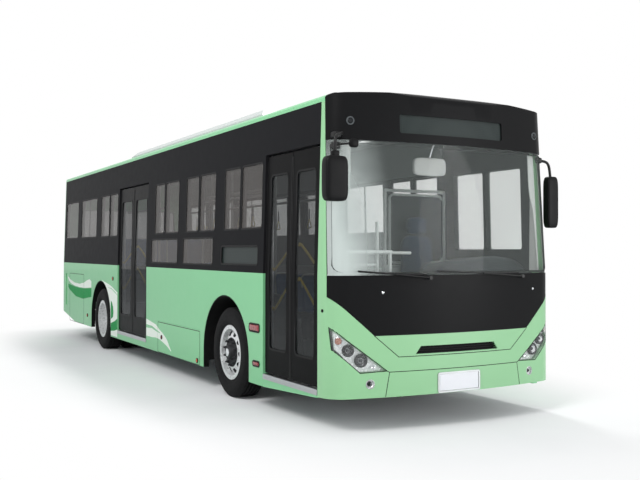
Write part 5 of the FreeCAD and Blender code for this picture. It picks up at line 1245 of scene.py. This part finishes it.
def make_rims():
    """Silver wheels, nuts, hub caps and black discs of painted shade at the hand holes, each set spaced evenly round
    its circle.
    """
    nut = filled([(0.019, 0.0), (0.019, 0.003), (0.0155, 0.004), (0.0155, 0.022), (0.0115, 0.026), (0.010, 0.040)],
                 0.041)
    # A black disc that stands for a hand hole: painted shade, not an opening.
    hole = filled([(0.031, -0.006), (0.031, 0.004), (0.028, 0.0045), (0.026, 0.0015)], 0.0015)
    cap = filled([(0.085, 0.092), (0.086, 0.104), (0.080, 0.112), (0.078, 0.134), (0.070, 0.1435), (0.050, 0.146)],
                 0.147)
    flange = [(0.084, 0.0960), (0.157, 0.0960), (0.157, 0.0995), (0.153, 0.1010), (0.084, 0.1010)]
    plug = filled([(0.047, 0.1455), (0.047, 0.150), (0.030, 0.152)], 0.152)
    for end, plural in PLURALS.items():
        nut_x = WHEEL_X[end] + NUT_OFFSET[end]
        for sign, label in ((1, "left"), (-1, "right")):
            wheel = "%s_%s_" % (end, label)
            body = wheel + "wheel" + plural
            dressed_copy(wheel + "rim" + plural, "silver enamel", 38)
            middle = np.array([sign * WHEEL_X[end], FRONT_Y + AXLES[end], TYRE_R])
            nuts, hole_shades = [], []
            for k in range(10):
                turn = 2 * math.pi * (k + 0.5) / 10
                centre = (sign * nut_x, middle[1] + NUT_PITCH[end] * math.cos(turn),
                          TYRE_R + NUT_PITCH[end] * math.sin(turn))
                nuts.append(revolve(nut, centre, (sign, 0, 0), 6))
            piece(wheel + "wheel_nuts", nuts, NUT_FINISH[end], body, smooth=20)
            # Black discs on the wheel's face, on the hand holes' circle, are painted shade of the openings.
            depth, slope = disc_surface(wheel + "rim" + plural, middle, sign, HOLE_PITCH[end])
            for k in range(10):
                turn = 2 * math.pi * k / 10
                spoke = np.array([0.0, math.cos(turn), math.sin(turn)])
                centre = middle + (sign * depth, 0, 0) + HOLE_PITCH[end] * spoke
                hole_shades.append(revolve(hole, centre, np.array([sign, 0, 0]) - slope * spoke, 20))
            piece(wheel + "hand_hole_shades", hole_shades, "black ABS", body)
            if end == "front":
                hub = [revolve(cap, middle, (sign, 0, 0), 48), revolve(flange, middle, (sign, 0, 0), 64)]
                piece(wheel + "hub_cap", hub, "cast iron", body)
                piece(wheel + "hub_plug", revolve(plug, middle, (sign, 0, 0), 6), "polished chrome", body)


def make_mirrors():
    """Outside mirrors: rounded heads with glass behind them, on bent arms."""
    heads = [superbox(-1.3075, -0.045, 2.1615, (0.208, 0.112, 0.373), 6, 32, 40),
             superbox(1.3425, 0.255, 2.055, (0.137, 0.092, 0.512), 6, 32, 40),
             superbox(-1.308, -0.045, 2.362, (0.068, 0.054, 0.062), 5),
             superbox(-1.109, -0.012, 2.467, (0.085, 0.05, 0.075), 3)]
    glass = [superbox(-1.3075, 0.0095, 2.1615, (0.172, 0.006, 0.33), 8),
             superbox(1.3425, 0.300, 2.055, (0.11, 0.006, 0.46), 8)]
    arms = [bar([(-1.13, 0.30, 2.562), (-1.18, 0.06, 2.556), (-1.296, -0.04, 2.50), (-1.308, -0.045, 2.33)],
                28, 0.0145),
            bar([(-1.13, 0.30, 2.468), (-1.20, 0.07, 2.462), (-1.308, -0.045, 2.428)], 28, 0.0125),
            bar([(-1.20, 0.07, 2.462), (-1.16, 0.01, 2.462), (-1.109, -0.012, 2.467)], 28, 0.009),
            bar([(1.195, 0.30, 2.47), (1.30, 0.255, 2.44), (1.342, 0.255, 2.29)], 28, 0.0135)]
    feet = [superbox(x, s, z, (0.07, 0.09, 0.06), 4)
            for x, s, z in ((-1.150, 0.215, 2.56), (-1.158, 0.215, 2.467), (1.205, 0.30, 2.468))]
    piece("mirror_heads", heads, "black ABS", replaced=("outside_mirrors",))
    piece("mirror_arms", arms + feet, "black aluminium")
    piece("mirror_glass", glass, "polished chrome")


def film(name, spans, material, body="chassis", out=0.0006):
    """Film on the right side: between a lower and an upper edge, each a line through (station, height) points."""
    parts = []
    for stations, low, high in spans:
        count = max(8, int(abs(stations[-1] - stations[0]) / 0.02))
        rows, s = net((0, 1, 4), (stations[0], stations[-1], count))
        z = np.interp(s, stations, low) * (1 - rows) + np.interp(s, stations, high) * rows
        parts.append(side_sheet(-1, s, z, out + 0.0004, out - 0.0004))
    piece(name, parts, material, body, smooth=60)


def make_livery():
    """White and dark green swoosh on the right side, as film on the panels and on both flaps."""
    film("white_film_rear", [([8.23, 8.35, 8.52, 8.745], [0.955, 0.95, 0.94, 0.93], [1.055, 1.09, 1.07, 1.02]),
                             ([9.827, 9.89, 10.00], [1.005, 1.02, 1.09], [1.06, 1.08, 1.10])], "white film")
    film("white_film_flap", [([8.755, 9.06, 9.44, 9.74, 9.817], [0.93, 0.93, 0.945, 0.98, 1.0],
                              [1.02, 0.99, 1.00, 1.04, 1.055])], "white film", "rear_flap")
    film("green_film_rear", [([8.23, 8.52, 8.745], [0.80, 0.77, 0.745], [0.945, 0.93, 0.92]),
                             ([9.827, 9.94], [0.86, 0.90], [0.955, 0.96])], "green film")
    film("green_film_flap", [([8.755, 8.83, 9.34, 9.64, 9.817], [0.745, 0.74, 0.76, 0.82, 0.86],
                              [0.92, 0.92, 0.925, 0.945, 0.955])], "green film", "rear_flap")

    # Beside the rear arch the film's lower edge follows the arch's circle, with 4 mm to spare.
    s = np.linspace(6.645, 7.55, 46)
    circle = 0.482 + np.sqrt(np.maximum(0.0, (ARCH_R + 0.004) ** 2 - (AXLES["rear"] - s) ** 2))
    low = np.where(s > 7.008, circle, 0.27)
    top = np.interp(s, [6.645, 6.73, 7.01, 7.30, 7.55], [0.94, 0.96, 1.03, 1.07, 1.095])
    film("white_film_mid", [(s, low, np.maximum(top, low + 0.001))], "white film")
    film("green_film_mid", [([6.645, 6.79, 7.004], [0.385, 0.355, 0.335], [0.545, 0.50, 0.455])], "green film",
         out=0.0016)
    film("green_film_leaf", [([6.86, 6.88, 6.94, 7.004], [0.62, 0.56, 0.535, 0.52], [0.64, 0.71, 0.775, 0.80])],
         "green film", out=0.0016)
    film("mint_film_line", [([6.645, 6.75, 6.97, 7.19], [0.895, 0.925, 0.98, 0.998], [0.905, 0.94, 0.992, 1.0])],
         "mint enamel", out=0.0016)

    # Ahead of the middle door the film is cut at the service flap's edge, and each share rides on its own body.
    flap_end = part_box("service_flap")[1][1] - FRONT_Y
    for label, start, end, body in (("", flap_end + 0.006, 5.205, "chassis"),
                                    ("_flap", 4.18, flap_end - 0.002, "service_flap")):
        for name, stations, low, high, material, out in (
                ("white_film_fore", [4.18, 4.34, 4.48, 4.64, 4.79, 4.95, 5.205],
                 [0.305, 0.36, 0.39, 0.42, 0.43, 0.42, 0.42],
                 [0.315, 0.44, 0.50, 0.545, 0.60, 0.62, 0.65], "white film", 0.0006),
                ("mint_film_fore", [4.61, 4.79, 4.95, 5.205], [0.50, 0.515, 0.54, 0.53],
                 [0.505, 0.54, 0.57, 0.575], "mint enamel", 0.0016)):
            s = np.linspace(max(start, stations[0]), end, 24)
            if s[0] < s[-1]:
                film(name + label, [(s, np.interp(s, stations, low), np.interp(s, stations, high))], material, body,
                     out)


def aim(obj, target):
    """Turn a lamp so that it shines at a point."""
    away = np.array(obj.location) - np.array(target)
    level = math.hypot(away[0], away[1])
    obj.rotation_euler = (math.atan2(level, away[2]), 0.0, math.atan2(away[0], -away[1]))


def make_stage():
    """Pale floor, soft lamps, white surroundings and the camera."""
    x, y = net((-60.0, 60.0, 3), (-60.0, 60.0, 3))
    floor = bpy.data.meshes.new("floor_plane")
    points = np.stack([x, y, np.zeros_like(x) - 0.0005], -1).reshape(-1, 3)
    floor.from_pydata(points.tolist(), [], grid_faces(3, 3).tolist())
    plane = bpy.data.objects.new("floor_plane", floor)
    scene = bpy.context.scene
    scene.collection.objects.link(plane)
    floor.materials.append(new_material("studio_paper", studio_paper))

    world = bpy.data.worlds.new("studio")
    scene.world = world
    world.use_nodes = True
    tree = world.node_tree
    tree.nodes.clear()
    rays = put(tree, "ShaderNodeLightPath")
    seen = put(tree, "ShaderNodeMath", {"operation": "MAXIMUM"},
               {0: rays.outputs["Is Camera Ray"], 1: rays.outputs["Is Glossy Ray"]})
    seen = put(tree, "ShaderNodeMath", {"operation": "MAXIMUM"}, {0: seen, 1: rays.outputs["Is Transmission Ray"]})
    soft = put(tree, "ShaderNodeBackground", {"Color": srgb("E9EEF2"), "Strength": 0.62})
    white = put(tree, "ShaderNodeBackground", {"Color": (1, 1, 1, 1), "Strength": 1.0})
    both = put(tree, "ShaderNodeMixShader", links={0: seen, 1: soft, 2: white})
    put(tree, "ShaderNodeOutputWorld", links={"Surface": both})

    for name, place, target, power, width in (
            ("key", (-9.0, -9.0, 9.0), (-0.5, -1.0, 1.4), 780.0, 4.5),
            ("front", (7.5, -15.5, 2.6), (0.2, -5.2, 0.9), 620.0, 5.0),
            ("top", (2.8, 2.5, 12.0), (0.0, 0.0, 1.5), 880.0, 2.2)):
        lamp = bpy.data.lights.new(name, "AREA")
        lamp.shape = "DISK"
        lamp.size = width
        lamp.energy = power
        light = bpy.data.objects.new(name, lamp)
        scene.collection.objects.link(light)
        light.location = place
        aim(light, target)

    camera = bpy.data.cameras.new("photo_camera")
    camera.lens = scene.bus_look.lens
    camera.sensor_width = 36.0
    camera.sensor_fit = "HORIZONTAL"
    camera.clip_end = 200.0
    viewer = bpy.data.objects.new("photo_camera", camera)
    scene.collection.objects.link(viewer)
    viewer.location = (-4.775, FRONT_Y - 6.108, 1.569)
    yaw, pitch, roll = math.radians(28.77), math.radians(0.73), math.radians(-0.05)
    viewer.rotation_mode = "XYZ"
    viewer.rotation_euler = (math.pi / 2 + pitch, roll, -yaw)
    scene.camera = viewer
    scene.view_settings.view_transform = "Standard"


def paint_frame():
    """Give every CAD node that still shows its own finish."""
    plan = {
        "chassis paint": ["chassis_frame", "cross_members", "tie_rod"],
        "cast iron": ["front_axle", "rear_axle", "power_unit", "front_left_knuckle", "front_right_knuckle"],
        "ribbed vinyl": ["floor"],
        "housing polymer": ["wheel_housings"],
        "mint enamel": ["right_panels", "left_panels", "service_flap", "rear_flap", "engine_hatch", "door_skirts"],
        "black enamel": ["right_band", "left_band", "right_cantrail"],
        "smoked glass": ["right_windows", "rear_window"],
        "grey glass": ["left_windows"],
        "dot display": ["destination_signs"],
        "black aluminium": ["wipers"],
        "pale powder coat": ["handrails"],
    }
    for door in DOORS:
        for end in ("fore", "aft"):
            plan.setdefault("door enamel", []).append("%s_%s_leaf" % (door, end))
            plan.setdefault("door glass", []).append("%s_%s_glass" % (door, end))
            plan.setdefault("anodised aluminium", []).append("%s_%s_post" % (door, end))
    for name, members in plan.items():
        for node in members:
            mesh = NODES[node].data
            mesh.materials.clear()
            mesh.materials.append(finish(name))
    for node in ("rear_panel", "roof"):
        dressed_copy(node, "mint enamel", 30)
    dressed_copy("roof_pod", "white enamel", 25, bevel=0.012)


# Add-on

class BusLook(bpy.types.PropertyGroup):
    """Sizes and colours that a user would change."""

    body_colour: FloatVectorProperty(name="Body colour", description="Colour of the main enamel", subtype="COLOR",
                                     size=3, min=0.0, max=1.0, default=srgb("82CB94")[:3])
    lens: FloatProperty(name="Lens", description="Camera's focal length in millimetres", default=48.1, min=10.0,
                        max=200.0)


class BUS_OT_paint(bpy.types.Operator):
    """Give the model's own pieces their finishes"""

    bl_idname = "bus.paint"
    bl_label = "Paint the frame"

    def execute(self, context):
        paint_frame()
        return {"FINISHED"}


class BUS_OT_front(bpy.types.Operator):
    """Build the bowed front face"""

    bl_idname = "bus.front"
    bl_label = "Front face"

    def execute(self, context):
        make_front()
        make_front_details()
        return {"FINISHED"}


class BUS_OT_headlamps(bpy.types.Operator):
    """Build the headlamps and fog lamps"""

    bl_idname = "bus.headlamps"
    bl_label = "Headlamps"

    def execute(self, context):
        make_headlamps()
        return {"FINISHED"}


class BUS_OT_side_trim(bpy.types.Operator):
    """Build window rubbers and door sills"""

    bl_idname = "bus.side_trim"
    bl_label = "Side trim"

    def execute(self, context):
        make_side_trim()
        return {"FINISHED"}


class BUS_OT_side_lamps(bpy.types.Operator):
    """Build the marker lamps and tail lamps"""

    bl_idname = "bus.side_lamps"
    bl_label = "Side and tail lamps"

    def execute(self, context):
        make_side_lamps()
        return {"FINISHED"}


class BUS_OT_rear(bpy.types.Operator):
    """Build the details of the rear face"""

    bl_idname = "bus.rear"
    bl_label = "Rear face"

    def execute(self, context):
        make_rear()
        return {"FINISHED"}


class BUS_OT_seats(bpy.types.Operator):
    """Build the passenger seats and the driver's seat"""

    bl_idname = "bus.seats"
    bl_label = "Seats"

    def execute(self, context):
        make_seats()
        return {"FINISHED"}


class BUS_OT_doors(bpy.types.Operator):
    """Build the seals, gaskets and grab bars of the doors"""

    bl_idname = "bus.doors"
    bl_label = "Doors"

    def execute(self, context):
        make_doors()
        return {"FINISHED"}


class BUS_OT_cabin(bpy.types.Operator):
    """Build the ceiling, linings, rails and dashboard"""

    bl_idname = "bus.cabin"
    bl_label = "Cabin"

    def execute(self, context):
        make_cabin()
        make_dashboard()
        return {"FINISHED"}


class BUS_OT_livery(bpy.types.Operator):
    """Lay the swoosh on the right side"""

    bl_idname = "bus.livery"
    bl_label = "Livery"

    def execute(self, context):
        make_livery()
        return {"FINISHED"}


class BUS_OT_wheels(bpy.types.Operator):
    """Build tyres, wheels and nuts"""

    bl_idname = "bus.wheels"
    bl_label = "Wheels"

    def execute(self, context):
        make_tyres()
        make_rims()
        return {"FINISHED"}


class BUS_OT_mirrors(bpy.types.Operator):
    """Build the outside mirrors"""

    bl_idname = "bus.mirrors"
    bl_label = "Mirrors"

    def execute(self, context):
        make_mirrors()
        return {"FINISHED"}


class BUS_OT_stage(bpy.types.Operator):
    """Set up the floor, lamps and camera"""

    bl_idname = "bus.stage"
    bl_label = "Stage"

    def execute(self, context):
        make_stage()
        return {"FINISHED"}


class BUS_PT_panel(bpy.types.Panel):
    """Lists the bus's settings and makers"""

    bl_label = "City bus"
    bl_idname = "BUS_PT_panel"
    bl_space_type = "VIEW_3D"
    bl_region_type = "UI"
    bl_category = "City bus"

    def draw(self, context):
        look = context.scene.bus_look
        self.layout.prop(look, "body_colour")
        self.layout.prop(look, "lens")
        for maker in MAKERS:
            self.layout.operator(maker.bl_idname)


MAKERS = (BUS_OT_paint, BUS_OT_front, BUS_OT_headlamps, BUS_OT_side_trim, BUS_OT_side_lamps,
          BUS_OT_rear, BUS_OT_doors, BUS_OT_cabin, BUS_OT_seats,
          BUS_OT_livery, BUS_OT_wheels, BUS_OT_mirrors, BUS_OT_stage)
CLASSES = (BusLook,) + MAKERS + (BUS_PT_panel,)


def register():
    """Register the classes and the settings."""
    for cls in CLASSES:
        bpy.utils.register_class(cls)
    bpy.types.Scene.bus_look = PointerProperty(type=BusLook)


def unregister():
    """Take the classes and the settings away."""
    del bpy.types.Scene.bus_look
    for cls in reversed(CLASSES):
        bpy.utils.unregister_class(cls)


def main():
    register()
    for maker in MAKERS:
        group, name = maker.bl_idname.split(".")
        getattr(getattr(bpy.ops, group), name)()


if __name__ == "__main__":
    main()
